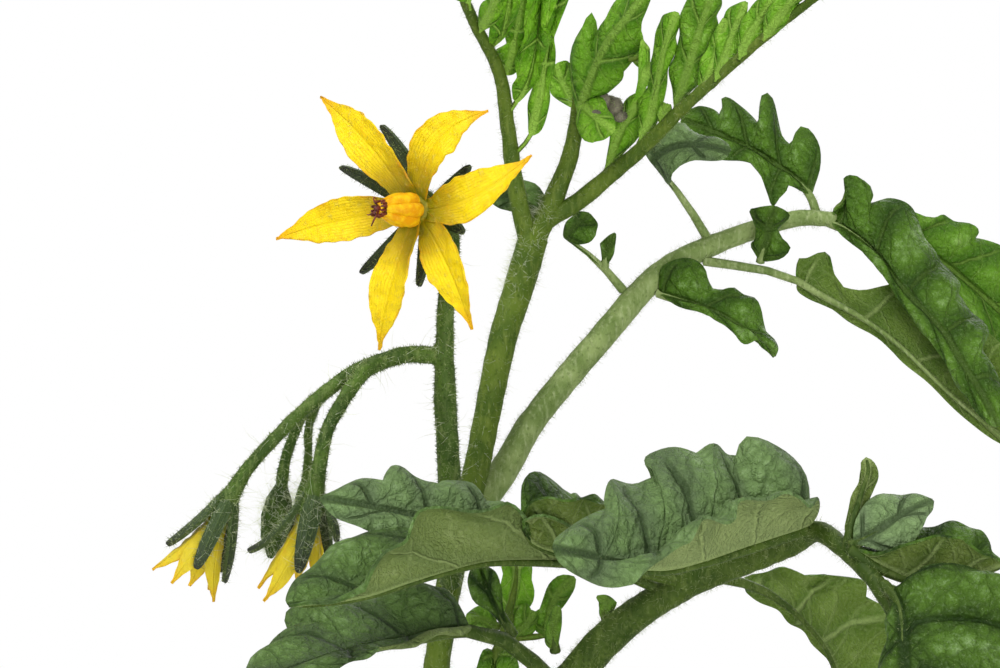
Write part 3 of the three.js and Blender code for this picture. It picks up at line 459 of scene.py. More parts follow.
def smooth_line(points, step=0.8):
    """Evenly spaced points along a smooth curve through the given ones."""
    given = np.array(points, float)
    ends = np.vstack([2 * given[0] - given[1], given, 2 * given[-1] - given[-2]])
    t = np.linspace(0, 1, 12, endpoint=False)[:, None]
    dense = []
    for a, b, c, d in zip(ends, ends[1:], ends[2:], ends[3:]):
        square, cube = 2 * a - 5 * b + 4 * c - d, 3 * b - 3 * c + d - a
        dense.append(0.5 * (2 * b + (c - a) * t + square * t**2 + cube * t**3))
    dense = np.vstack(dense + [given[-1:]])
    run = np.concatenate([[0], np.cumsum(np.linalg.norm(np.diff(dense, axis=0), axis=1))])
    places = np.linspace(0, run[-1], max(3, int(run[-1] / step) + 1))
    return np.stack([np.interp(places, run, dense[:, k]) for k in range(3)], axis=-1)


def read(items, key, width=1, kind=float):
    """What each vertex, corner or face of a mesh holds under a name."""
    values = np.zeros(len(items) * width, kind)
    items.foreach_get(key, values)
    return values.reshape(-1, width) if width > 1 else values


def ring_faces(rows, sides):
    """The faces between rings of points that follow each other."""
    faces = []
    for i in range(rows - 1):
        for k in range(sides):
            a, b = i * sides + k, i * sides + (k + 1) % sides
            faces.append((a, b, b + sides, a + sides))
    return faces


def end_faces(rows, sides):
    """The faces that close the first and last ring on the two points that come after the rings."""
    start, last = rows * sides, (rows - 1) * sides
    faces = []
    for k in range(sides):
        faces.append((start, (k + 1) % sides, k))
        faces.append((start + 1, last + k, last + (k + 1) % sides))
    return faces


def sheet_faces(rows, columns):
    """The faces of a sheet of points that lies in rows."""
    faces = []
    for i in range(rows - 1):
        for j in range(columns - 1):
            a = i * columns + j
            faces.append((a, a + 1, a + columns + 1, a + columns))
    return faces


def out_to_both_sides(columns):
    """The places of the points across a blade, from -1 at its left edge over its midrib to 1."""
    return np.concatenate([-np.linspace(1, 0, columns + 1)[:-1], np.linspace(0, 1, columns + 1)])


class Form:
    """Points and faces of a mesh as they are added. uv holds where a point lies on its blade: how far
    along, and how far out to either side. growth holds its leaf's age, its distance from the midrib and
    the length of a lobe."""

    def __init__(self):
        self.points = []
        self.faces = []
        self.finishes = []
        self.uv = []
        self.growth = []
        self.count = 0

    def add(self, points, faces, finish=0, uv=None, growth=None):
        points = np.asarray(points, float)
        self.points.append(points)
        self.faces.extend([tuple(int(k) + self.count for k in face) for face in faces])
        self.finishes.extend([finish] * len(faces))
        self.uv.append(np.zeros((len(points), 2)) if uv is None else uv)
        self.growth.append(np.zeros((len(points), 3)) if growth is None else growth)
        self.count += len(points)

    def make(self, name, materials):
        mesh = bpy.data.meshes.new(name)
        mesh.from_pydata(np.vstack(self.points).tolist(), [], self.faces)
        for material in materials:
            mesh.materials.append(material)
        mesh.polygons.foreach_set("material_index", self.finishes)
        corners = read(mesh.loops, "vertex_index", kind=int)
        mesh.uv_layers.new(name="leaf").uv.foreach_set("vector", np.vstack(self.uv)[corners].ravel())
        growth = mesh.attributes.new("growth", "FLOAT_VECTOR", "POINT")
        growth.data.foreach_set("vector", np.vstack(self.growth).ravel())
        mesh.update()
        piece = bpy.data.objects.new(name, mesh)
        bpy.context.collection.objects.link(piece)
        return piece


def choose(pieces):
    """Selects these pieces and nothing else, the first one active."""
    bpy.ops.object.select_all(action="DESELECT")
    for piece in pieces:
        piece.select_set(True)
    bpy.context.view_layer.objects.active = pieces[0]


def apply(piece, kind, **settings):
    """Adds a modifier to a piece and applies it."""
    modifier = piece.modifiers.new(kind.title(), kind)
    for key, value in settings.items():
        setattr(modifier, key, value)
    choose([piece])
    bpy.ops.object.modifier_apply(modifier=modifier.name)


def join(pieces):
    """Joins pieces into the first one."""
    choose(pieces)
    if len(pieces) > 1:
        bpy.ops.object.join()
    return pieces[0]


def outwards(piece):
    """Merges a mesh's doubles and turns its faces outwards."""
    choose([piece])
    bpy.ops.object.mode_set(mode="EDIT")
    bpy.ops.mesh.select_all(action="SELECT")
    bpy.ops.mesh.remove_doubles(threshold=0.001)
    bpy.ops.mesh.normals_make_consistent(inside=False)
    bpy.ops.object.mode_set(mode="OBJECT")


def settle(piece, name, node, angle=60):
    """Turns a finished piece from millimetres to metres, hangs it under the root body and hides its CAD
    node, if it has one."""
    piece.name = name
    piece.data.name = name
    piece.data.transform(Matrix.Scale(METRE, 4))
    choose([piece])
    bpy.ops.object.shade_smooth_by_angle(angle=math.radians(angle))
    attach(piece, "root")
    if node:
        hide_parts(node)
    return piece


def tube(form, line, radii, sides=10, finish=0, growth=None):
    """A closed tube along a line of points, its radii spread evenly from start to end."""
    line = np.asarray(line, float)
    along = unit(np.gradient(line, axis=0))
    across = np.zeros_like(line)
    seed = np.array([0.0, 0.0, 1.0]) if abs(along[0][2]) < 0.9 else np.array([1.0, 0.0, 0.0])
    for i, way in enumerate(along):
        seed = unit(seed - way * np.dot(seed, way))
        across[i] = seed
    other = np.cross(along, across)
    radius = spread(radii, np.linspace(0, 1, len(line)))[:, None, None]
    turn = 2 * np.pi * np.arange(sides) / sides
    ring = across[:, None] * np.cos(turn)[None, :, None] + other[:, None] * np.sin(turn)[None, :, None]
    skin = (line[:, None] + ring * radius).reshape(-1, 3)
    ends = [line[0] - along[0] * radius[0, 0] * 0.5, line[-1] + along[-1] * radius[-1, 0] * 0.7]
    points = np.vstack([skin, *ends])
    growth = None if growth is None else np.tile(growth, (len(points), 1))
    form.add(points, ring_faces(len(line), sides) + end_faces(len(line), sides), finish, growth=growth)


def rings_about(axis, upright, radius, height, turn):
    """Rings of points round an axis, and the axis. Past upright, an axis counts as vertical."""
    z = unit(axis)
    x = unit(np.cross([0.0, 0.0, 1.0], z)) if abs(z[2]) < upright else np.array([1.0, 0.0, 0.0])
    y = np.cross(z, x)
    out = x * (radius * np.cos(turn))[..., None] + y * (radius * np.sin(turn))[..., None]
    return (out + z * height[..., None]).reshape(-1, 3), z


def ball(form, centre, size, axis, shape, rows=10, sides=14, finish=0):
    """A round body along an axis. size is its radius and half its length; shape(t, turn) swells it."""
    t = np.linspace(0, 1, rows + 1)[1:-1, None]
    turn = (2 * np.pi * np.arange(sides) / sides)[None, :]
    grow = shape(t, turn)
    radius = size[0] * np.sin(np.pi * t) * grow
    height = -size[1] * np.cos(np.pi * t) * np.ones_like(grow)
    skin, z = rings_about(axis, 0.95, radius, height, turn)
    points = np.vstack([skin, -z * size[1], z * size[1]]) + np.asarray(centre, float)
    form.add(points, ring_faces(len(t), sides) + end_faces(len(t), sides), finish)


def turned(form, base, axis, profile, sides=40, shape=None):
    """A body turned round an axis from a profile of [distance along it, radius], with its ends closed."""
    profile = np.asarray(profile, float)
    t = np.linspace(0, 1, len(profile) * 5)
    turn = (2 * np.pi * np.arange(sides) / sides)[None, :]
    radius = spread(profile[:, 1], t)[:, None]
    radius = radius * (np.ones_like(turn) if shape is None else shape(t[:, None], turn))
    height = spread(profile[:, 0], t)[:, None] * np.ones_like(radius)
    skin, z = rings_about(axis, 0.995, radius, height, turn)
    ends = [z * (profile[0, 0] - 0.1), z * (profile[-1, 0] + 0.1)]
    points = np.vstack([skin, *ends]) + np.asarray(base, float)
    form.add(points, ring_faces(len(t), sides) + end_faces(len(t), sides))


def stalks(name, routes, material, voxel=0.34, rounds=5):
    """Stems that grow out of each other: tubes fused into one skin and smoothed where they meet."""
    form = Form()
    for route, radii in routes:
        tube(form, smooth_line(route, 1.0), radii, 14)
    piece = form.make(name, [material])
    apply(piece, "REMESH", mode="VOXEL", voxel_size=voxel)
    apply(piece, "SMOOTH", factor=0.5, iterations=rounds)
    mesh = piece.data
    spots = read(mesh.vertices, "co", 3)
    ways = read(mesh.vertex_normals, "vector", 3)
    swell = np.array([noise.noise((x * 0.8, y * 0.8, z * 0.45)) for x, y, z in spots.tolist()])
    spots += ways * (swell[:, None] * 0.09 + 0.05)
    mesh.vertices.foreach_set("co", spots.ravel())
    mesh.update()
    return piece


def hairs(carrier, density, length, seed, thick=0.018, lean=0.45, where=None, bend=0.0, material=None):
    """Fine hairs on a mesh, density to a square millimetre: closed three-sided spikes, each with its foot
    sunk in the skin. A bent one has a knee."""
    chance = np.random.default_rng(seed)
    mesh = carrier.data
    first = read(mesh.polygons, "loop_start", kind=int)
    corners = read(mesh.loops, "vertex_index", kind=int)
    centres = read(mesh.polygons, "center", 3)
    normals = read(mesh.polygons, "normal", 3)
    spots = read(mesh.vertices, "co", 3)
    weight = read(mesh.polygons, "area")
    if where:
        weight = weight * where(centres, normals)
    total = int(weight.sum() * density)
    pick = chance.choice(len(mesh.polygons), total, p=weight / weight.sum())
    to_corner = spots[corners[first[pick]]] - centres[pick]
    foot = centres[pick] + to_corner * chance.uniform(-0.8, 0.8, (total, 1))
    way = unit(normals[pick] + lean * chance.normal(size=(total, 3)))
    size = length * chance.uniform(0.35, 1.2, (total, 1))
    one = unit(np.cross(way, chance.normal(size=(total, 3))))
    two = np.cross(way, one)
    turn = 2 * np.pi * np.arange(3) / 3

    def ring(centre, radius):
        return [centre + radius * (one * math.cos(a) + two * math.sin(a)) for a in turn]

    rings = ring(foot - way * 0.06, thick)
    tip = foot + way * size + one * bend * size
    if bend:
        rings += ring(foot + way * size * 0.55 + one * bend * 0.35 * size, thick * 0.7)
        pattern = [(2, 1, 0), (0, 1, 4, 3), (1, 2, 5, 4), (2, 0, 3, 5), (3, 4, 6), (4, 5, 6), (5, 3, 6)]
    else:
        pattern = [(2, 1, 0), (0, 1, 3), (1, 2, 3), (2, 0, 3)]
    points = np.stack(rings + [tip], axis=1)
    each = points.shape[1]
    faces = [tuple(each * i + k for k in face) for i in range(total) for face in pattern]
    form = Form()
    form.add(points.reshape(-1, 3), faces)
    return form.make("hairs", [material or HAIR])


# ---- Blades: leaflets, sepals and petals ----
def leaf_outline(u):
    """A leaf's half width along its midrib, as a share of its widest, without its lobes."""
    return np.sin(np.pi * u**0.62) ** 0.75


def petal_outline(u):
    """A petal widens from a broad foot and draws in to a long point."""
    point = np.clip((u - 0.72) / 0.28, 0, 1)
    draw_in = 1 - 0.4 * point**2 * (3 - 2 * point)
    return (0.42 * (1 - u) ** 2 + np.sin(np.pi * u**1.05) ** 1.15) * draw_in


def sepal_outline(u):
    """A sepal keeps most of its width up to a blunt tip."""
    return (1 - u**9) ** 0.5 * (0.62 + 0.38 * np.sin(np.pi * u**0.7)) * (1 - 0.3 * u)


def lobe_shape(f):
    """One lobe of a leaf's edge, from its notch over its rounded tip, which leans forward, to the next
    notch."""
    return np.maximum(np.sin(np.pi * np.clip(f, 0, 1) ** 1.3), 0) ** 0.55


def blade(form, spec, seed, age=0.0):
    """Adds a blade that bends from base through middle to tip, its upper side turned towards face. fold
    is how far its halves rise from the midrib, in degrees from base to tip, bare the share of its length
    that is stalk, cut how deep its notches are, and stalk how thick its midrib is at its foot."""
    get = spec.get
    chance = np.random.default_rng(seed)
    base, middle, tip = (np.array(spec[key], float) for key in ("base", "middle", "tip"))
    lobes, bare, cut, wave = get("lobes", 3), get("bare", 0.12), get("cut", 0.4), get("wave", 0.06)
    quilt, curl, teeth = get("quilt", 0.07), get("curl", 0.06), get("teeth", 0.05)
    outline = get("outline", leaf_outline)
    fine = np.linalg.norm(tip - base) > 15 or get("fine", False)
    rows_per_lobe, columns = (18, 9) if fine else (12, 6)
    bend = 2 * middle - 0.5 * base - 0.5 * tip
    blade_t = np.linspace(0, 1, max(lobes, 3) * rows_per_lobe + 7)
    t = bare + (1 - bare) * (1 - (1 - blade_t) ** 1.12)
    if bare > 0:
        t = np.concatenate([np.linspace(0, bare, 4)[:-1], t])
    row = t[:, None]
    midrib = (1 - row) ** 2 * base + 2 * row * (1 - row) * bend + row**2 * tip
    tangent = unit((1 - row) * (bend - base) + row * (tip - bend))
    across = unit(np.cross(tangent, np.array(spec["face"], float)))
    normal = unit(np.cross(across, tangent))
    u = np.clip((t - bare) / (1 - bare), 0, 1)
    growing = (t > bare) | (bare == 0)
    places, halves = {}, {}
    for side in (-1, 1):
        shift = chance.uniform(-0.08, 0.08) if lobes > 1 else 0.0
        place = np.clip(u * lobes + shift * np.sin(np.pi * u), 0, lobes - 1e-4)
        number = place.astype(int)
        reach = 1 + chance.uniform(-0.12, 0.1, lobes + 1)[number] * (lobes > 1)
        notch = cut * (1 - 0.35 * u) * (1 - lobe_shape(place - number))
        reach = reach * (spec["width"] / 2) * outline(u) * (1 - notch)
        if teeth and lobes > 1:
            bite = np.abs(np.sin(np.pi * (place * 2.5 + 0.3 + side * 0.2)))
            reach = reach * (1 - teeth * (1 - bite))
        places[side] = place
        halves[side] = reach * growing + 0.12
    shares = out_to_both_sides(columns)
    sides = [-1 if share < 0 else 1 for share in shares]
    place = np.stack([places[side] for side in sides], axis=1)
    half = np.stack([halves[side] for side in sides], axis=1)
    rise = np.radians(spread(get("fold", [15, 5]), t))[:, None]
    lean = (get("sweep", SWEEP) * (1 - u) * growing)[:, None]
    v = shares[None, :]
    out = np.abs(v) * half
    lateral = place - VEIN_LEAN * np.abs(v) - VEIN_START
    between = np.abs(np.sin(np.pi * lateral)) ** 0.6
    near_rib = 1 - np.exp(-np.abs(v) / 0.14)
    near_edge = 1 - np.abs(v) ** 5
    relief = quilt * half * between * near_rib * near_edge * (lobes > 1)
    puff = np.abs(np.sin(np.pi * (2.5 * place + 1.6 * np.abs(v))))
    puff = puff * np.abs(np.sin(2.6 * np.pi * np.abs(v) + 0.5))
    relief = relief + quilt * 0.35 * half * puff * near_edge * (lobes > 1)
    ruffle = chance.uniform(0, 6.28)
    frill = get("frill", 0.05) * out * np.abs(v) * np.sin(place * 7.5 + np.sign(v) * 1.3 + ruffle)
    ripple = wave * np.sin(2 * np.pi * place) * out * np.abs(v)
    roll = -curl * half * np.abs(v) ** 3
    side_up = normal[:, None] * np.cos(rise)[..., None]
    side_up = side_up - across[:, None] * (np.sign(v) * np.sin(rise))[..., None]
    points = midrib[:, None] + across[:, None] * (v * half * np.cos(rise))[..., None]
    points = points + normal[:, None] * (out * np.sin(rise))[..., None]
    points = points + side_up * (relief + ripple + frill + roll)[..., None]
    points = points + tangent[:, None] * (out * lean)[..., None]
    crinkle = get("crinkle")
    if crinkle:
        flat = points.reshape(-1, 3).tolist()
        folds = np.array([noise.noise((x * 0.9, y * 0.9, z * 0.9)) for x, y, z in flat])
        folds = folds.reshape(out.shape)
        points = points + side_up * (crinkle * folds * np.minimum(out, 1.0))[..., None]
        points = points + across[:, None] * (crinkle * 0.6 * folds[::-1] * v**3)[..., None]
    length = np.linalg.norm(tip - base) * (1 - bare)
    along_lobes = lateral if lobes > 1 else u[:, None] * np.ones_like(out)
    uv = np.stack([along_lobes, v * np.ones_like(out)], axis=-1)
    pitch = np.full_like(out, length / lobes)
    growth = np.stack([np.full_like(out, age), out * np.sign(v), pitch], axis=-1)
    faces = sheet_faces(len(t), len(shares))
    form.add(points.reshape(-1, 3), faces, 0, uv.reshape(-1, 2), growth.reshape(-1, 3))
    return midrib, normal, t


def in_space(across, down, depth):
    """The place, at a depth, of a spot of the photograph given in its pixels."""
    x, y, z = CAMERA["place"]
    scale = (depth - y) * CAMERA["sensor"] / CAMERA["lens"] / PICTURE["width"]
    right, below = across - PICTURE["width"] / 2, down - PICTURE["height"] / 2
    return [x + right * scale, depth, z - below * scale]


def drawn_edge(start, tip, lobes, depths, place):
    """One side of a leaf whose lobes are listed from notch to notch, read at each place in lobes."""
    lines = []
    last = start
    for number, lobe in enumerate(lobes):
        ending = number == len(lobes) - 1
        spots = [last]
        for i, (across, down) in enumerate(lobe):
            share = (number + (i + 1) / (len(lobe) + ending)) / len(lobes)
            spots.append(in_space(across, down, float(spread(depths, share))))
        if ending:
            spots.append(tip)
        last = spots[-1]
        lines.append(smooth_line(spots, 0.2))
    points = []
    for one in place:
        number = min(int(one + 1e-5), len(lobes) - 1)
        points.append(spread(lines[number], min(max(one - number, 0.0), 1.0)))
    return np.array(points)


def soften(ways):
    """Directions along a line, each averaged with its neighbours."""
    blur = np.hanning(15) / np.hanning(15).sum()
    padded = np.pad(ways, ((7, 7), (0, 0)), mode="edge")
    return unit(np.stack([np.convolve(padded[:, k], blur, mode="valid") for k in range(3)], axis=-1))


def drawn_blade(form, spec, seed, age=0.0):
    """Adds a blade from its midrib (spots of the photograph, each with its depth) and the outline of its
    halves. left and right, as seen from its upper side, list each lobe's spots, and left_depth and
    right_depth how far behind the midrib that edge lies, from base to tip. bare is the share of its length
    that is stalk, quilt how high it swells between its veins, and left_roll how far its left edge rolls
    up, in millimetres. An age below 0 is a paler leaf: partly its own pale tone, partly painted light."""
    chance = np.random.default_rng(seed)
    age = spec.get("age", age)
    bare, quilt, roll = spec.get("bare", 0.03), spec.get("quilt", 0.07), spec.get("left_roll", [0, 0])
    line = smooth_line([in_space(*spot) for spot in spec["mid"]], 0.25)
    length = 0.25 * len(line) * (1 - bare)
    rows_per_lobe, columns = (14, 9) if length > 13 else (10, 6)
    lobes = {-1: spec["left"], 1: spec["right"]}
    rows = np.concatenate([np.linspace(0, 1, len(side) * rows_per_lobe + 1) for side in lobes.values()])
    u = np.unique(np.round(rows, 5))
    t = np.concatenate([np.linspace(0, bare, 4)[:-1], bare + (1 - bare) * u])
    u = np.concatenate([np.zeros(3), u])
    midrib = spread(line, t)
    tangent = unit(spread(unit(np.gradient(line, axis=0)), t))
    course = np.linspace(0, 1, 26)
    reach = {}
    for side, offsets in ((-1, spec["left_depth"]), (1, spec["right_depth"])):
        depths = spread(line[:, 1], bare + (1 - bare) * course) + spread(offsets, course)
        edge = drawn_edge(midrib[3], midrib[-1], lobes[side], depths, u * len(lobes[side]))
        reach[side] = (edge - midrib) * (t > bare)[:, None]
    ups = {side: soften(np.cross(reach[side] * side, tangent)) for side in reach}
    normal = soften(np.cross(reach[1] - reach[-1], tangent))
    across = unit(np.cross(tangent, normal))
    shares = out_to_both_sides(columns)
    gap = 0.25 * np.linalg.norm(reach[1] - reach[-1], axis=1)
    ruffle = chance.uniform(0, 6.28)
    points, uv, growth = [], [], []
    for v in shares:
        side = -1 if v < 0 else 1
        w = abs(v)
        place = u * len(lobes[side])
        run = place - 0.5 + VEIN_LEAN * (1 - w)
        size = np.linalg.norm(reach[side], axis=1)
        small = np.minimum(size, 9.0)
        between = np.abs(np.sin(np.pi * run)) ** 0.6
        puff = np.abs(np.sin(np.pi * (2.5 * place + 1.6 * w)) * np.sin(2.6 * np.pi * w + 0.5))
        calm = (1 - math.exp(-w / 0.14)) * (1 - w**5)
        rise = quilt * small * (between * calm + 0.35 * puff * (1 - w**5))
        rise = rise + 0.09 * small * 4 * w * (1 - w)
        rise = np.minimum(rise, gap * w) + 0.05 * small * w**3 * np.sin(place * 9.0 + side * 1.3 + ruffle)
        column = midrib + reach[side] * w + ups[side] * rise[:, None] + across * (0.12 * v)
        if side < 0 and w > ROLL_FROM:
            turn = (w - ROLL_FROM) / (1 - ROLL_FROM) * math.radians(ROLL_TURN)
            lip = spread(roll, u) * np.minimum(size / 1.5, 1)
            inwards = (w - ROLL_FROM - 0.5 * math.sin(turn)) * np.minimum(lip / 0.8, 1)
            lift = lip * (1 - math.cos(turn))
            column = column - reach[side] * inwards[:, None] + ups[side] * lift[:, None]
        points.append(column)
        uv.append(np.stack([run, np.full_like(run, v)], axis=-1))
        pitch = np.full_like(run, length / len(lobes[side]))
        growth.append(np.stack([np.full_like(run, age), size * v, pitch], axis=-1))
    points, uv, growth = (np.stack(part, axis=1) for part in (points, uv, growth))
    faces = sheet_faces(len(t), len(shares))
    form.add(points.reshape(-1, 3), faces, 0, uv.reshape(-1, 2), growth.reshape(-1, 3))
    return midrib, normal, t


def midrib_tube(form, midrib, normal, t, start, age):
    """The stalk and midrib of a leaflet: a tapering tube half sunk in the underside of its blade."""
    radii = spread([start, start * 0.8, start * 0.48, start * 0.34, 0.14], t)
    line = midrib - normal * (0.1 + radii[:, None] * 0.35)
    keep = t < 0.97
    tube(form, line[keep], radii[keep], 8, growth=[age, 0, 1])


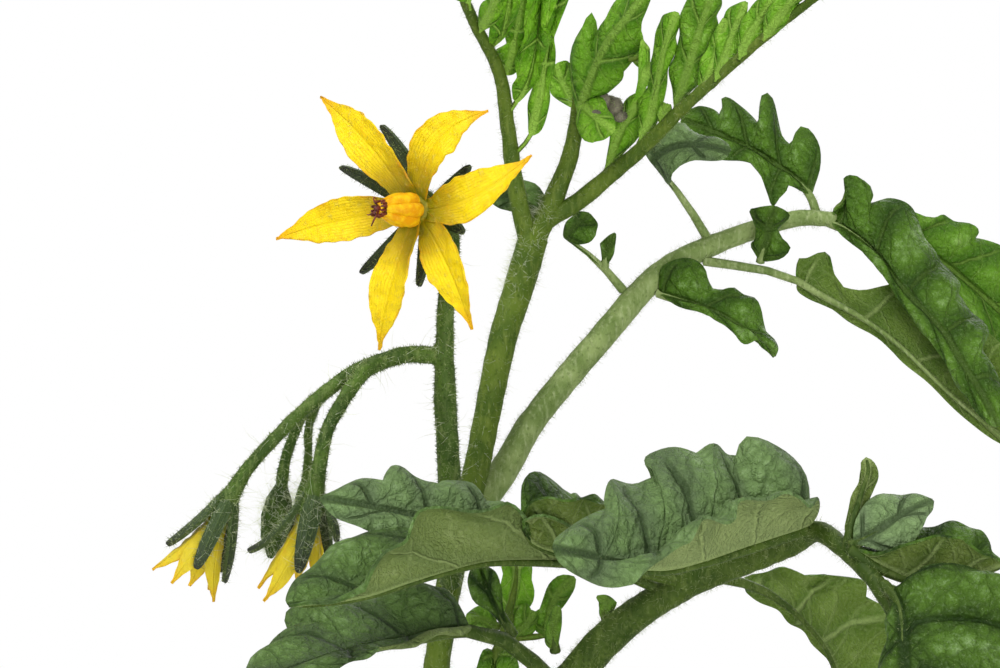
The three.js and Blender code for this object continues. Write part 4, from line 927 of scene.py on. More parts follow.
# ---- The leaves by the open flower ----
# They are drawn over the photograph. mid, left and right hold spots of it in pixels, from its upper left
# corner, and mid also holds how deep each spot lies, in millimetres. blade() and drawn_blade() tell what
# the other words mean.
FRONT_LEAF = dict(
    route=[[-2.6, 0, 284], [1.5, -3, 286.5], [6, -5, 289.3], [12.9, -10, 294], [17.4, -14, 299.6],
        [21.7, -18, 303.8], [27, -23, 307.5], [32.1, -28, 310], [37, -33, 312.4], [39.4, -37, 314.2],
        [41.4, -41, 313], [44, -45, 310.3], [46.3, -49, 306.4]],
    radii=[2.4, 2.2, 2.1, 2.0, 1.7, 1.45, 1.2, 1.0, 0.9],
    leaflets=[
        dict(
            mid=[(816, 524, -36.5), (790, 534, -38), (750, 547, -40.5), (705, 562, -43.5),
                (665, 571, -46), (625, 567, -48.5), (585, 556, -51), (553, 549, -53)],
            left=[[(820, 508), (817, 498), (808, 504), (801, 499)],
                [(785, 494), (765, 496), (747, 499), (739, 505), (735, 517)],
                [(722, 520), (706, 520), (695, 527), (688, 540)],
                [(674, 551), (655, 560), (645, 570), (638, 580), (632, 585)],
                [(615, 586), (595, 583), (575, 574), (560, 562)]],
            right=[[(808, 505), (808, 488), (804, 470), (792, 455), (772, 445), (752, 440), (742, 442),
                 (737, 457)], [(726, 452), (712, 447), (703, 449), (697, 453)],
                [(682, 452), (664, 450), (651, 453), (646, 460), (648, 470), (651, 481)],
                [(638, 484), (622, 481), (611, 482), (606, 488), (606, 498), (609, 508)],
                [(598, 514), (580, 523), (566, 532), (556, 541)]],
            left_depth=[-1, -3, -5, -6, -5, -3, -1, 0], right_depth=[1, 5, 9, 10, 10, 8, 4, 0],
            quilt=0.13, age=-0.72,
        ),
        dict(
            mid=[(692, 583, -23), (645, 571, -24), (600, 564, -26), (545, 561, -28.5), (490, 562, -31),
                (450, 571, -33.5), (410, 583, -36), (370, 596, -38), (330, 603, -40), (289, 606, -42)],
            left=[[(600, 560), (580, 535), (560, 520), (540, 515), (526, 522)],
                [(518, 511), (506, 503), (494, 506), (470, 510), (445, 509), (425, 511), (416, 516),
                 (408, 530)], [(403, 540), (393, 549), (380, 560), (370, 570), (366, 580), (364, 591)],
                [(350, 598), (325, 602), (305, 604)]],
            right=[[(590, 545), (550, 528), (520, 525), (495, 533)],
                [(470, 524), (440, 522), (415, 526), (400, 541)],
                [(385, 534), (365, 532), (348, 538), (335, 548), (322, 560)],
                [(310, 568), (298, 580), (290, 592), (287, 600)]],
            left_depth=[-1, -4, -6, -7, -6, -3, 0], right_depth=[2, 5, 7, 8, 6, 3, 0], bare=0.1,
            quilt=0.15, age=-0.3,
        ),
        dict(
            mid=[(668, 592, -21), (620, 572, -21), (560, 553, -21.5), (490, 534, -23), (430, 521, -25),
                (390, 512, -26), (350, 504, -27), (320, 499, -27.5)],
            left=[[(510, 560), (480, 560), (450, 552), (432, 545)],
                [(415, 541), (398, 538), (384, 534), (374, 531)], [(360, 527), (345, 521), (332, 513)]],
            right=[[(515, 520), (505, 505), (492, 503), (481, 501)],
                [(478, 494), (470, 486), (455, 481), (444, 483), (438, 487)],
                [(428, 484), (414, 476), (402, 470), (392, 469), (387, 474), (384, 481)],
                [(372, 480), (358, 482), (345, 487), (333, 493)]],
            left_depth=[0, -2, -3, -2, 0], right_depth=[0, 2, 4, 4, 3, 0], bare=0.34, quilt=0.16,
            age=-0.9,
        ),
        dict(
            mid=[(692, 580, -23), (650, 569, -24.5), (605, 562, -27), (563, 555, -29), (535, 545, -30),
                (524, 530, -31)],
            left=[[(640, 545), (620, 515), (608, 506), (600, 503)], [(590, 500), (575, 499), (562, 500)],
                [(548, 498), (535, 499), (528, 503), (524, 512)]],
            right=[[(640, 530), (615, 505), (600, 500)], [(590, 497), (580, 496), (570, 497)],
                [(562, 490), (556, 482), (548, 475), (538, 472), (527, 476), (521, 485), (521, 496)]],
            left_depth=[-1, -2, -3, -2, 0], right_depth=[3, 6, 7, 7, 0], bare=0.1,
        ),
        dict(
            mid=[(561, 686, -10), (530, 655, -13.5), (505, 637, -16.5), (480, 629, -19),
                (450, 631, -22), (420, 637, -25), (390, 643, -28), (355, 651, -31), (320, 661, -34),
                (285, 672, -36), (222, 700, -38)],
            left=[[(468, 636), (455, 641), (445, 641), (438, 645)],
                [(428, 650), (412, 655), (396, 659), (385, 661), (380, 659)],
                [(368, 663), (350, 668), (330, 676), (318, 680)], [(295, 690), (265, 697)]],
            right=[[(462, 616), (455, 603), (447, 591), (436, 587), (422, 582), (408, 582), (396, 586),
                 (386, 593), (366, 606)],
                [(345, 604), (320, 605), (300, 608), (289, 612), (286, 618), (290, 627), (300, 634)],
                [(287, 636), (272, 644), (260, 655), (250, 668), (246, 680)], [(236, 684), (228, 690)]],
            left_depth=[0, -2, -3, -3, -2, 0], right_depth=[1, 5, 8, 8, 6, 3, 0], bare=0.34,
            quilt=0.16, stalk=2.2, age=-0.4, left_roll=[0.5, 0.7, 0.6, 0.2, 0, 0],
        ),
        dict(
            mid=[(512, 637, -15), (500, 614, -15), (489, 590, -14.4), (481, 567, -13)],
            left=[[(490, 609), (480, 604), (473, 597), (470, 587)], [(470, 576), (473, 568)]],
            right=[[(501, 604), (501, 592), (499, 580)], [(494, 572), (487, 567)]],
            left_depth=[0.5, 1.5, 0], right_depth=[0, -0.5, 0], bare=0.08, quilt=0.08,
        ),
        dict(
            mid=[(705, 579, -24.2), (735, 583, -22.5), (763, 593, -21), (787, 607, -19.5),
                (808, 627, -18), (825, 648, -16.5), (836, 672, -15), (844, 710, -14)],
            left=[[(745, 591), (762, 600), (776, 609)], [(791, 620), (804, 632), (813, 641)],
                [(823, 652), (832, 668)]],
            right=[[(745, 579), (756, 576), (767, 573), (778, 568), (787, 567), (796, 572), (803, 577)],
                [(815, 577), (830, 575), (848, 578), (862, 583), (866, 598)],
                [(878, 603), (890, 610), (898, 622), (899, 640), (890, 655)], [(896, 675), (886, 705)]],
            left_depth=[1, 3, 4, 3, 0], right_depth=[2, 5, 6, 5, 3, 0], bare=0.27, quilt=0.2, age=0.12,
        ),
        dict(
            mid=[(607, 622, -15), (604, 611, -15), (607, 603, -14.6), (597, 597, -14)],
            left=[[(602, 616), (601, 607)], [(600, 601)]],
            right=[[(611, 612), (615, 603)], [(607, 597)]],
            left_depth=[0, 0.4, 0], right_depth=[0, 0.4, 0], bare=0.1, age=0.3,
        ),
        dict(
            mid=[(555, 653, -12.2), (553, 636, -13), (555, 622, -13.5), (559, 606, -14)],
            left=[[(547, 642), (548, 624)], [(554, 611)]],
            right=[[(557, 642), (560, 622)], [(560, 612)]],
            left_depth=[0.5, 0.5, 0], right_depth=[0.5, 0, 0], bare=0.06, age=0.3,
        ),
        dict(
            mid=[(849, 552, -42.4), (850, 534, -42.2), (856, 510, -41.8), (862, 490, -41.4),
                (868, 472, -41), (866, 458, -40)],
            left=[[(856, 524), (864, 508), (868, 497)], [(873, 488), (877, 478), (876, 468), (871, 460)]],
            right=[[(846, 528), (851, 508), (853, 496), (857, 488)],
                [(861, 481), (862, 470), (862, 462)]],
            left_depth=[1, 1.5, 1, 0], right_depth=[1, 1.5, 1, 0], bare=0.14,
        ),
        dict(
            mid=[(850, 545, -44), (868, 537, -43.6), (890, 524, -43), (910, 512, -42.4),
                (933, 501, -42)],
            left=[[(856, 524), (863, 510), (870, 501), (880, 495.5), (890, 497)],
                [(900, 497), (912, 494.5), (924, 498)]],
            right=[[(868, 546), (885, 551), (900, 550), (912, 543), (921, 527)],
                [(925, 519), (931, 511)]],
            left_depth=[0, 2, 3, 0], right_depth=[0, -1.5, -1, 0], bare=0.05, quilt=0.12, age=-1.1,
        ),
        dict(
            mid=[(852, 547, -44.2), (880, 566, -45), (915, 580, -46), (950, 580, -47), (985, 572, -48),
                (1006, 564, -48)],
            left=[[(880, 545), (905, 535), (920, 530)], [(935, 526), (957, 524), (972, 528)],
                [(983, 534), (989, 543), (992, 553)]],
            right=[[(880, 553), (905, 545), (922, 539)], [(940, 536), (960, 537), (967, 543)],
                [(980, 551), (992, 556)]],
            left_depth=[2, 4, 4, 0], right_depth=[-1, -2, -2, 0],
        ),
        dict(
            mid=[(884, 582, -48.6), (898, 602, -51), (903, 630, -54), (905, 660, -57), (904, 700, -60),
                (900, 745, -64)],
            left=[[(906, 592), (914, 581), (926, 569), (945, 564), (965, 565), (985, 573), (1008, 580),
                 (1020, 600)], [(1035, 630), (1038, 660), (1022, 685)],
                [(1020, 710), (990, 735), (955, 745)], [(935, 755)]],
            right=[[(893, 605), (888, 622), (890, 640)], [(884, 660), (878, 680), (880, 700)],
                [(880, 720)]],
            left_depth=[0, 1, 3, 4, 4, 0], right_depth=[0, 2, 3, 2, 0], bare=0.02, quilt=0.13,
        ),
    ],
)
RIGHT_LEAF = dict(
    route=[[2.6, 1.2, 312.5], [4.4, 2.6, 315.8], [6.6, 4, 318.8], [9.8, 7, 324.2], [15.1, 10, 330.7],
        [18.9, 12, 335], [23.4, 15, 340.2], [27.5, 17, 343.6], [32.6, 19, 346.1], [38.3, 20, 348.2],
        [43.5, 20, 349.6], [48, 19, 349.4]],
    radii=[1.9, 1.75, 1.6, 1.6, 1.6, 1.55, 1.35, 1.15, 0.95],
    leaflets=[
        dict(
            mid=[(657, 292, 14.4), (690, 304, 12), (720, 316, 10.5), (745, 331, 9.5), (765, 346, 8.5),
                (774, 357, 8)],
            left=[[(660, 272), (672, 263), (686, 259), (697, 262), (704, 270), (707, 282), (712, 291)],
                [(722, 292), (733, 288), (743, 295), (754, 300), (759, 310), (762, 322), (765, 331)],
                [(771, 339), (777, 348)]],
            right=[[(680, 306), (700, 312), (712, 316)],
                [(730, 329), (742, 341), (749, 343), (756, 340)], [(764, 348)]],
            left_depth=[1, 2.5, 2, 0], right_depth=[-1, -2, -1.5, 0], bare=0.02,
        ),
        dict(
            mid=[(704, 262, 18.4), (745, 268, 17.5), (785, 276, 16.5), (820, 295, 15), (860, 318, 13),
                (900, 347, 11), (950, 395, 8.5), (1016, 450, 6)],
            left=[[(800, 292), (830, 308), (850, 320)], [(880, 340), (905, 362), (925, 380)],
                [(960, 412), (990, 437)]],
            right=[[(796, 272), (798, 259), (806, 258), (818, 253), (827, 254), (830, 264), (834, 276),
                 (843, 287)], [(862, 290), (882, 288), (905, 285), (930, 292), (950, 305)],
                [(980, 325), (1005, 350), (1004, 380)], [(1018, 415)]],
            left_depth=[1, 2, 2, 0], right_depth=[1, 3, 5, 4, 2, 0], bare=0.26,
        ),
        dict(
            mid=[(827, 220, 19.2), (850, 232, 17), (878, 256, 14), (897, 283, 11), (920, 308, 8.5),
                (945, 335, 6), (965, 368, 3), (985, 400, 1), (997, 427, 0)],
            left=[[(838, 214), (846, 205), (849, 190), (847, 179), (856, 175), (868, 181), (874, 192),
                 (867, 205)], [(876, 200), (888, 198), (901, 203), (911, 211), (918, 224), (924, 238)],
                [(930, 250), (938, 262), (950, 270), (958, 284), (955, 296)],
                [(966, 306), (978, 320), (986, 334), (980, 348)], [(992, 370), (1003, 400)]],
            right=[[(845, 237), (868, 256), (884, 274)], [(902, 302), (922, 330), (930, 338)],
                [(948, 364), (962, 388), (970, 400)], [(986, 420)]],
            left_depth=[1, 4, 6, 6, 4, 0], right_depth=[0, -2, -2, -1, 0], bare=0.02, quilt=0.1,
            left_roll=[0.9, 0, 0, 0, 0],
        ),
        dict(
            mid=[(827, 217, 19.8), (880, 232, 22), (930, 255, 24.5), (980, 295, 26), (1030, 340, 27)],
            left=[[(868, 216), (895, 209), (912, 213), (924, 218)],
                [(935, 219), (944, 216), (955, 223), (968, 225), (977, 231), (975, 239)],
                [(988, 242), (1003, 250), (1016, 266), (1015, 280)], [(1032, 305)]],
            right=[[(870, 258), (900, 290), (915, 300)], [(945, 330), (965, 347), (975, 342)],
                [(1000, 372)]],
            left_depth=[0, 2, 2, 0], right_depth=[0, -3, -3, 0], quilt=0.08, age=0.35,
        ),
        dict(
            mid=[(818, 214, 20), (810, 194, 21), (790, 175, 23), (760, 155, 25), (730, 140, 26.5),
                (700, 127, 27.5), (681, 121, 28)],
            left=[[(801, 190), (791, 185), (789, 184)],
                [(787, 190), (780, 198), (774, 207), (769, 193), (762, 176), (751, 163)],
                [(738, 159), (722, 160), (712, 155)], [(700, 148), (690, 136)]],
            right=[[(813, 186), (819, 168), (819, 150), (813, 136), (804, 127), (797, 130), (795, 140),
                 (789, 146)],
                [(781, 138), (776, 118), (772, 101), (766, 95), (761, 101), (761, 114), (757, 123)],
                [(749, 115), (738, 107), (728, 99), (722, 98), (723, 107), (719, 116)],
                [(710, 110), (700, 107), (692, 110), (686, 114)]],
            left_depth=[0, -2, -2, 0], right_depth=[1, 2.5, 2.5, 0], bare=0.12, quilt=0.06,
        ),
        dict(
            mid=[(707, 240, 19), (688, 208, 17), (668, 180, 15.5), (655, 162, 15), (672, 149, 14),
                (700, 146, 13), (730, 152, 12)],
            left=[[(646, 152), (655, 140), (668, 130), (681, 124), (690, 131)],
                [(703, 137), (718, 140), (727, 145)]],
            right=[[(663, 176), (670, 184), (672, 172), (680, 165)],
                [(695, 160), (712, 160), (724, 159)]],
            left_depth=[0, 2, 2, 0], right_depth=[0, -1.5, -1, 0], bare=0.52, quilt=0.12, age=-0.8,
        ),
        dict(
            mid=[(760, 263, 17), (763, 250, 16.2), (768, 235, 15.5), (770, 220, 15), (775, 206, 14.5)],
            left=[[(756, 252), (752, 245), (757, 239), (758, 228)], [(754, 219), (751, 210), (758, 208)]],
            right=[[(770, 260), (780, 258), (787, 251), (788, 245), (781, 239), (776, 229)],
                [(782, 222), (788, 215), (783, 210)]],
            left_depth=[0, 1, 1, 0], right_depth=[0, 1, 1, 0], bare=0.05,
        ),
        dict(
            mid=[(622, 291, 14.4), (600, 265, 14), (580, 248, 13.8), (566, 237, 13.5),
                (574, 228, 13.2), (590, 214, 13)],
            left=[[(565, 236), (566, 226), (572, 219)], [(580, 213)]],
            right=[[(575, 243), (588, 242), (595, 234)], [(597, 224)]],
            left_depth=[0, 1, 0], right_depth=[0, -1, 0], bare=0.68,
        ),
        dict(
            mid=[(604, 270, 14), (607, 252, 13.6), (610, 243, 13.4), (615, 233, 13.2)],
            left=[[(603, 252), (602, 244)], [(608, 238)]],
            right=[[(611, 256), (613, 247)], [(614, 240)]],
            left_depth=[0, 0.5, 0], right_depth=[0, 0.5, 0], bare=0.1,
        ),
        dict(
            mid=[(541, 232, 9), (536, 214, 10), (522, 204, 10.5), (506, 197, 11.5), (489, 200, 12)],
            left=[[(533, 216), (522, 212), (512, 210)], [(500, 207)]],
            right=[[(546, 206), (538, 188), (524, 182)], [(506, 186), (494, 193)]],
            left_depth=[0, 0.5, 0], right_depth=[0, 1, 0], bare=0.1, age=-0.3, stalk=0.6,
        ),
    ],
)
YOUNG_LEFT_LEAF = dict(
    route=[[10, 8, 344.5], [9, 7.8, 348], [7.9, 7, 353], [7, 6, 359.7], [5.9, 4, 366.4], [3, 1, 372],
        [0.4, -3, 377.5], [-2, -8, 382]],
    radii=[1.25, 1.1, 0.95, 0.82, 0.72, 0.58, 0.46],
    leaflets=[
        dict(
            mid=[(513, 156, 6.6), (529, 138, 5), (536, 115, 4.5), (542, 85, 4), (548, 50, 3),
                (558, 5, 1), (572, -46, -1)],
            left=[[(530, 122), (530, 105), (533, 92), (536, 84)], [(535, 70), (539, 52), (544, 42)],
                [(546, 12), (556, -20)]],
            right=[[(539, 130), (546, 112), (548, 98), (546, 88)], [(552, 72), (554, 52), (551, 38)],
                [(564, 8), (574, -26)]],
            left_depth=[0.5, 1, 0.5, 0], right_depth=[0.5, 1, 0.5, 0], bare=0.14,
        ),
        dict(
            mid=[(503, 121, 6), (516, 103, 4.5), (526, 85, 3.5), (534, 60, 2), (541, 10, 0),
                (548, -84, -4)],
            left=[[(514, 97), (514, 86), (519, 78)], [(517, 62), (521, 46), (527, 38)],
                [(528, 0), (536, -50)]],
            right=[[(526, 92), (536, 80), (536, 68)], [(544, 56), (549, 40), (545, 30)],
                [(556, 0), (556, -50)]],
            left_depth=[0.5, 1.5, 1, 0], right_depth=[0.5, 1, 0.5, 0], bare=0.12,
        ),
        dict(
            mid=[(497, 86, 5), (508, 68, 4), (513, 50, 3), (519, 15, 1), (526, -50, -2)],
            left=[[(499, 64), (496, 53), (503, 48), (509, 47)], [(507, 36), (510, 16), (514, 4)],
                [(514, -24)]],
            right=[[(514, 72), (521, 58), (519, 48)], [(528, 34), (531, 10), (526, 0)], [(536, -24)]],
            left_depth=[0.5, 1.5, 1, 0], right_depth=[0.5, 1, 0.5, 0], bare=0.1,
        ),
        dict(
            mid=[(489, 56, 3.8), (497, 38, 2), (506, 22, 0), (514, -40, -5), (514, -138, -10)],
            left=[[(490, 38), (494, 10), (502, -6)], [(500, -60)]],
            right=[[(506, 34), (518, 6), (516, -20)], [(526, -70)]],
            left_depth=[0.5, 1.5, 1, 0], right_depth=[0.5, 1, 0.5, 0], bare=0.06,
        ),
        dict(
            mid=[(480, 32, 0.3), (489, 14, -3), (496, -4, -6), (500, -18, -8)],
            left=[[(480, 16), (484, 4), (489, 0)], [(490, -12)]],
            right=[[(494, 22), (502, 8), (500, 0)], [(506, -10)]],
            left_depth=[0.5, 1, 0], right_depth=[0.5, 1, 0], bare=0.05,
        ),
        dict(
            mid=[(470, 10, -6.4), (462, -30, -11), (430, -90, -15), (386, -166, -19)],
            left=[[(450, -6), (424, -40), (424, -66)], [(392, -110)]],
            right=[[(478, -30), (462, -84), (440, -100)], [(414, -150)]],
            left_depth=[0.5, 1, 0], right_depth=[0.5, 1, 0], bare=0.05,
        ),
    ],
)
YOUNG_RIGHT_LEAF = dict(
    route=[[11.4, 8.8, 348.6], [13.2, 9, 349.8], [15.3, 9, 351], [19.4, 8, 354.3], [23.9, 6, 358.1],
        [27.9, 4, 362.1], [33, 2, 366.6], [39.6, -1, 372], [45.8, -5, 376.4], [51, -9, 379.4]],
    radii=[1.1, 1.1, 0.95, 0.82, 0.72, 0.64, 0.56, 0.48, 0.4],
    leaflets=[
        dict(
            mid=[(605, 176, 7.8), (616, 142, 8), (630, 116, 7.6), (646, 90, 7)],
            left=[[(611, 144), (613, 128), (620, 118)], [(628, 100)]],
            right=[[(624, 150), (638, 134), (640, 116)], [(650, 104)]],
            left_depth=[0.5, 1, 0], right_depth=[0.5, 1, 0], bare=0.05,
        ),
        dict(
            mid=[(638, 147, 6.2), (650, 118, 6), (657, 85, 5.6), (664, 50, 5), (677, 12, 4)],
            left=[[(640, 116), (641, 96), (649, 88)], [(652, 68), (656, 46), (659, 32)],
                [(663, 18), (670, 14)]],
            right=[[(654, 124), (662, 100), (664, 86)], [(667, 66), (674, 48), (674, 36)], [(678, 20)]],
            left_depth=[0.5, 1.5, 1, 0], right_depth=[0.5, 1, 0.5, 0], bare=0.05, age=0.8,
        ),
        dict(
            mid=[(674, 114, 4.5), (682, 88, 4.4), (690, 62, 4), (700, 30, 3.4), (712, -6, 2.4)],
            left=[[(674, 88), (671, 70), (676, 56)], [(682, 38), (680, 22), (685, 10)], [(692, -4)]],
            right=[[(688, 92), (700, 80), (697, 68)], [(710, 50), (716, 28), (715, 16)], [(720, 0)]],
            left_depth=[0.5, 2, 1, 0], right_depth=[0.5, 1, 0.5, 0], bare=0.05, age=0.55,
        ),
        dict(
            mid=[(698, 97, 2.8), (708, 80, 2.6), (716, 60, 2.6), (722, 34, 2.4), (724, 18, 2)],
            left=[[(700, 78), (702, 62), (708, 52)], [(714, 36)]],
            right=[[(718, 78), (730, 60), (728, 44)], [(730, 30)]],
            left_depth=[0.5, 1, 0], right_depth=[0.5, 1, 0], bare=0.05,
        ),
        dict(
            mid=[(715, 82, 1.7), (724, 60, 1.8), (732, 36, 2), (747, 2, 1.6)],
            left=[[(716, 56), (718, 34), (723, 22)], [(730, 10), (740, 4)]],
            right=[[(734, 64), (742, 44), (741, 30)], [(744, 16)]],
            left_depth=[0.5, 1.5, 0], right_depth=[0.5, 0.5, 0], bare=0.04, age=0.7,
        ),
        dict(
            mid=[(739, 60, 0.3), (748, 38, 0.4), (760, 20, 0), (776, -4, -1)],
            left=[[(740, 38), (744, 20), (751, 11)], [(762, -2)]],
            right=[[(754, 46), (768, 28), (768, 16)], [(782, 6)]],
            left_depth=[0.5, 1, 0], right_depth=[0.5, 0.5, 0], bare=0.04, age=0.7,
        ),
        dict(
            mid=[(763, 41, -1.3), (776, 22, -1.6), (790, 4, -2.4), (806, -22, -4)],
            left=[[(766, 20), (774, 4), (783, -2)], [(790, -18)]],
            right=[[(782, 26), (797, 12), (797, 0)], [(810, -8)]],
            left_depth=[0.5, 1, 0], right_depth=[0.5, 0.5, 0], bare=0.05, age=0.7,
        ),
        dict(
            mid=[(812, -8, -6.6), (832, -22, -9), (860, -30, -12), (900, -26, -16)],
            left=[[(822, -30), (836, -42), (850, -42)], [(876, -44)]],
            right=[[(830, -8), (852, -8), (864, -14)], [(886, -10)]],
            left_depth=[0.5, 2, 0], right_depth=[0, -2, 0], bare=0.04,
        ),
        dict(
            mid=[(660, 122, 5), (664, 112, 4.6), (667, 104, 4.2)],
            left=[[(659, 114), (662, 107)], [(665, 103)]],
            right=[[(666, 116), (670, 109)], [(669, 104)]],
            left_depth=[0, 0.4, 0], right_depth=[0, 0.4, 0], bare=0.1,
        ),
    ],
)
TIP_LEAF = dict(
    route=[[15.5, 8.1, 363.4], [15.9, 7.6, 366], [17.5, 6, 369.2], [20.9, 4, 373.8], [24, 2, 377.6]],
    radii=[0.75, 0.7, 0.6, 0.45],
    leaflets=[
        dict(
            mid=[(577, 120, 7.6), (583, 98, 6), (593, 70, 4.5), (607, 42, 3), (628, 15, 1),
                (650, -14, -1)],
            left=[
                [(576, 98), (572, 76), (573, 56), (579, 40), (587, 25), (591, 13), (595, 25), (597, 40)],
                [(602, 32), (610, 16), (620, 0), (632, -8)], [(640, -16)]],
            right=[[(594, 97), (607, 92), (620, 79), (622, 70)],
                [(632, 60), (640, 48), (642, 38), (640, 30)], [(641, 20), (646, 8), (650, -4)]],
            left_depth=[0.5, 2, 2, 0], right_depth=[0.5, 1, 0.5, 0], bare=0.05, quilt=0.08, age=0.6,
        ),
        dict(
            mid=[(579, 103, 7), (588, 110, 5.6), (598, 120, 4.6), (614, 132, 4)],
            left=[[(590, 96), (602, 100), (606, 110)], [(613, 120)]],
            right=[[(578, 122), (584, 138), (594, 142)], [(606, 138)]],
            left_depth=[0.5, 1, 0], right_depth=[0, -0.5, 0], bare=0.04,
        ),
        dict(
            mid=[(576, 112, 8), (571, 98, 8.4), (563, 84, 8.8), (556, 64, 9)],
            left=[[(561, 100), (552, 92), (550, 80)], [(549, 68)]],
            right=[[(578, 92), (577, 80), (572, 72)], [(566, 62)]],
            left_depth=[0.5, 1, 0], right_depth=[0.5, 1, 0], bare=0.08,
        ),
        dict(
            mid=[(630, 60, 3), (644, 56, 2.4), (649, 50, 2), (642, 40, 1.6)],
            left=[[(638, 66), (646, 70), (640, 86)], [(636, 100)]],
            right=[[(636, 56), (642, 50)], [(641, 45)]],
            left_depth=[0, 0, 0], right_depth=[0, 0, 0], bare=0.05,
        ),
    ],
)
SIDE_SHOOT = dict(
    route=[[-1.9, -0.6, 291.8], [1.2, -1.8, 293], [4.4, -2.8, 295.4], [6.4, -3.2, 298.6],
        [7, -3.2, 302]],
    radii=[1.2, 1.1, 1.0, 0.9, 0.8],
    leaflets=[
        dict(
            mid=[(506, 618, -3.2), (511, 604, -3), (516, 580, -3), (516, 556, -3), (512, 536, -3.2)],
            left=[[(519, 612), (530, 606), (533, 592), (531, 580)], [(531, 566), (524, 548)]],
            right=[[(501, 602), (501, 586), (504, 574)], [(502, 560), (505, 546)]],
            left_depth=[0.5, 1, 0], right_depth=[0.5, 1, 0], bare=0.04, age=0.85,
        ),
        dict(
            mid=[(500, 626, -3.2), (490, 624, -4.4), (478, 618, -5.6), (466, 620, -6.4)],
            left=[[(488, 628), (476, 627)], [(469, 624)]],
            right=[[(492, 614), (484, 606), (474, 610)], [(468, 615)]],
            left_depth=[0, -0.5, 0], right_depth=[0, 1, 0], bare=0.1,
        ),
        dict(
            mid=[(504, 642, -3), (530, 636, -3.4), (545, 640, -3.8), (549, 618, -4), (556, 596, -4.2),
                (575, 578, -4.2)],
            left=[[(537, 630), (536, 615), (541, 611)], [(545, 599), (550, 586), (558, 578), (566, 576)]],
            right=[[(548, 640), (549, 624), (556, 612)], [(566, 600), (573, 588)]],
            left_depth=[0.5, 1, 0], right_depth=[0.5, 0.5, 0], bare=0.42,
        ),
        dict(
            mid=[(504, 640, -2.8), (518, 632, -3.4), (528, 622, -4), (532, 610, -4.2)],
            left=[[(512, 626), (516, 614), (522, 606)], [(528, 604)]],
            right=[[(528, 634), (536, 626)], [(536, 614)]],
            left_depth=[0, 0.6, 0], right_depth=[0, 0.4, 0], bare=0.15,
        ),
        dict(
            mid=[(497, 650, -2.6), (494, 668, -4), (490, 690, -6), (486, 716, -8)],
            left=[[(508, 648), (518, 664), (516, 684)], [(506, 704)]],
            right=[[(484, 650), (478, 668), (474, 690)], [(476, 708)]],
            left_depth=[0, -1, 0], right_depth=[0, -1, 0], bare=0.04,
        ),
    ],
)


# ---- The flower truss ----
SMOOTH = dict(lobes=1, cut=0, wave=0, bare=0, sweep=0.1, quilt=0, teeth=0, curl=0, frill=0, fine=True)
OPEN_FLOWER = dict(centre=[-3.3, -17, 348.9], axis=[-0.6, -0.8, 0])
ANTHER_CONE = [
    [0.9, 1.6], [1.3, 2.0], [2.1, 2.15], [3.3, 2.05], [4.4, 1.75], [5.4, 1.35], [6.4, 0.95], [6.9, 0.65],
]
OPEN_PETALS = [
    dict(tip=[-14.5, -12.5, 362.1], middle=[-8.6, -16.6, 356.2]),
    dict(tip=[4.7, -21, 359.8], middle=[-1.2, -19.6, 356.2]),
    dict(tip=[9.5, -22.5, 354.8], middle=[3, -21.8, 350.3]),
    dict(tip=[2.9, -20.5, 335.5], middle=[0.2, -20.4, 342.6]),
    dict(tip=[-7.7, -14.5, 333.2], middle=[-6.1, -17.6, 340.8]),
    dict(tip=[-19.8, -9.5, 346.0], middle=[-11.8, -13.6, 348.0]),
]
OPEN_SEPALS = [
    dict(tip=[-7.6, -11.5, 358.9], middle=[-5, -14.6, 354.4]),
    dict(tip=[-12.4, -10.5, 354.2], middle=[-8, -13.4, 351.8]),
    dict(tip=[2.6, -18, 353.9], middle=[0, -17.2, 351.6]),
    dict(tip=[1.9, -17.6, 346.4], middle=[-0.2, -17.2, 347.6]),
    dict(tip=[-3.2, -15.6, 340.4], middle=[-3, -16, 344.6]),
    dict(tip=[-10, -11, 342], middle=[-6.6, -13.8, 345.4]),
]
TRUSS_STEMS = [
    dict(
        route=[[0.2, -2.4, 305.6], [0, -5, 309.6], [0.1, -7, 318], [-0.3, -8, 326.2], [-0.4, -9, 332.3],
            [-0.2, -10, 338.9], [0.5, -10.4, 344], [0.2, -11.6, 347.4], [-1.5, -14.4, 349.1]],
        radii=[1.3, 1.35, 1.3, 1.3, 1.25, 1.05, 0.95, 0.85, 0.95],
    ),
    dict(
        route=[[-0.4, -9, 332.3], [-4.1, -10, 332.7], [-7.2, -11, 332], [-10.8, -12, 330.6],
            [-14.5, -13, 327.9], [-18.3, -14, 324.5], [-22.1, -14, 320.4], [-24.1, -14, 317.5],
            [-24.7, -14, 316.5], [-25.3, -14, 315.4], [-25.6, -14, 314.2]],
        radii=[1, 0.97, 0.92, 0.86, 0.8, 0.76, 0.74, 0.72, 0.72, 0.95, 1.75],
    ),
    dict(
        route=[[-6.6, -10.8, 332.1], [-9.5, -13, 330.7], [-11.8, -15, 327.4], [-13.6, -16, 324],
            [-14.3, -17, 320.4], [-14.9, -17, 317.4], [-15.2, -17, 316.1], [-15.2, -17, 314.9]],
        radii=[0.85, 0.85, 0.82, 0.78, 0.76, 0.8, 1.0, 1.75],
    ),
    dict(
        route=[[-14.3, -12.9, 328], [-16.4, -12, 326.1], [-17.6, -11, 323.6], [-18.8, -10, 320.3],
            [-19.2, -10, 317]],
        radii=[0.65, 0.6, 0.6, 0.7],
    ),
    dict(
        route=[[-14.6, -13, 327.8], [-16, -9.6, 324.6], [-16.3, -7.4, 321], [-16.6, -6, 317.4]],
        radii=[0.55, 0.5, 0.5, 0.6],
    ),
]
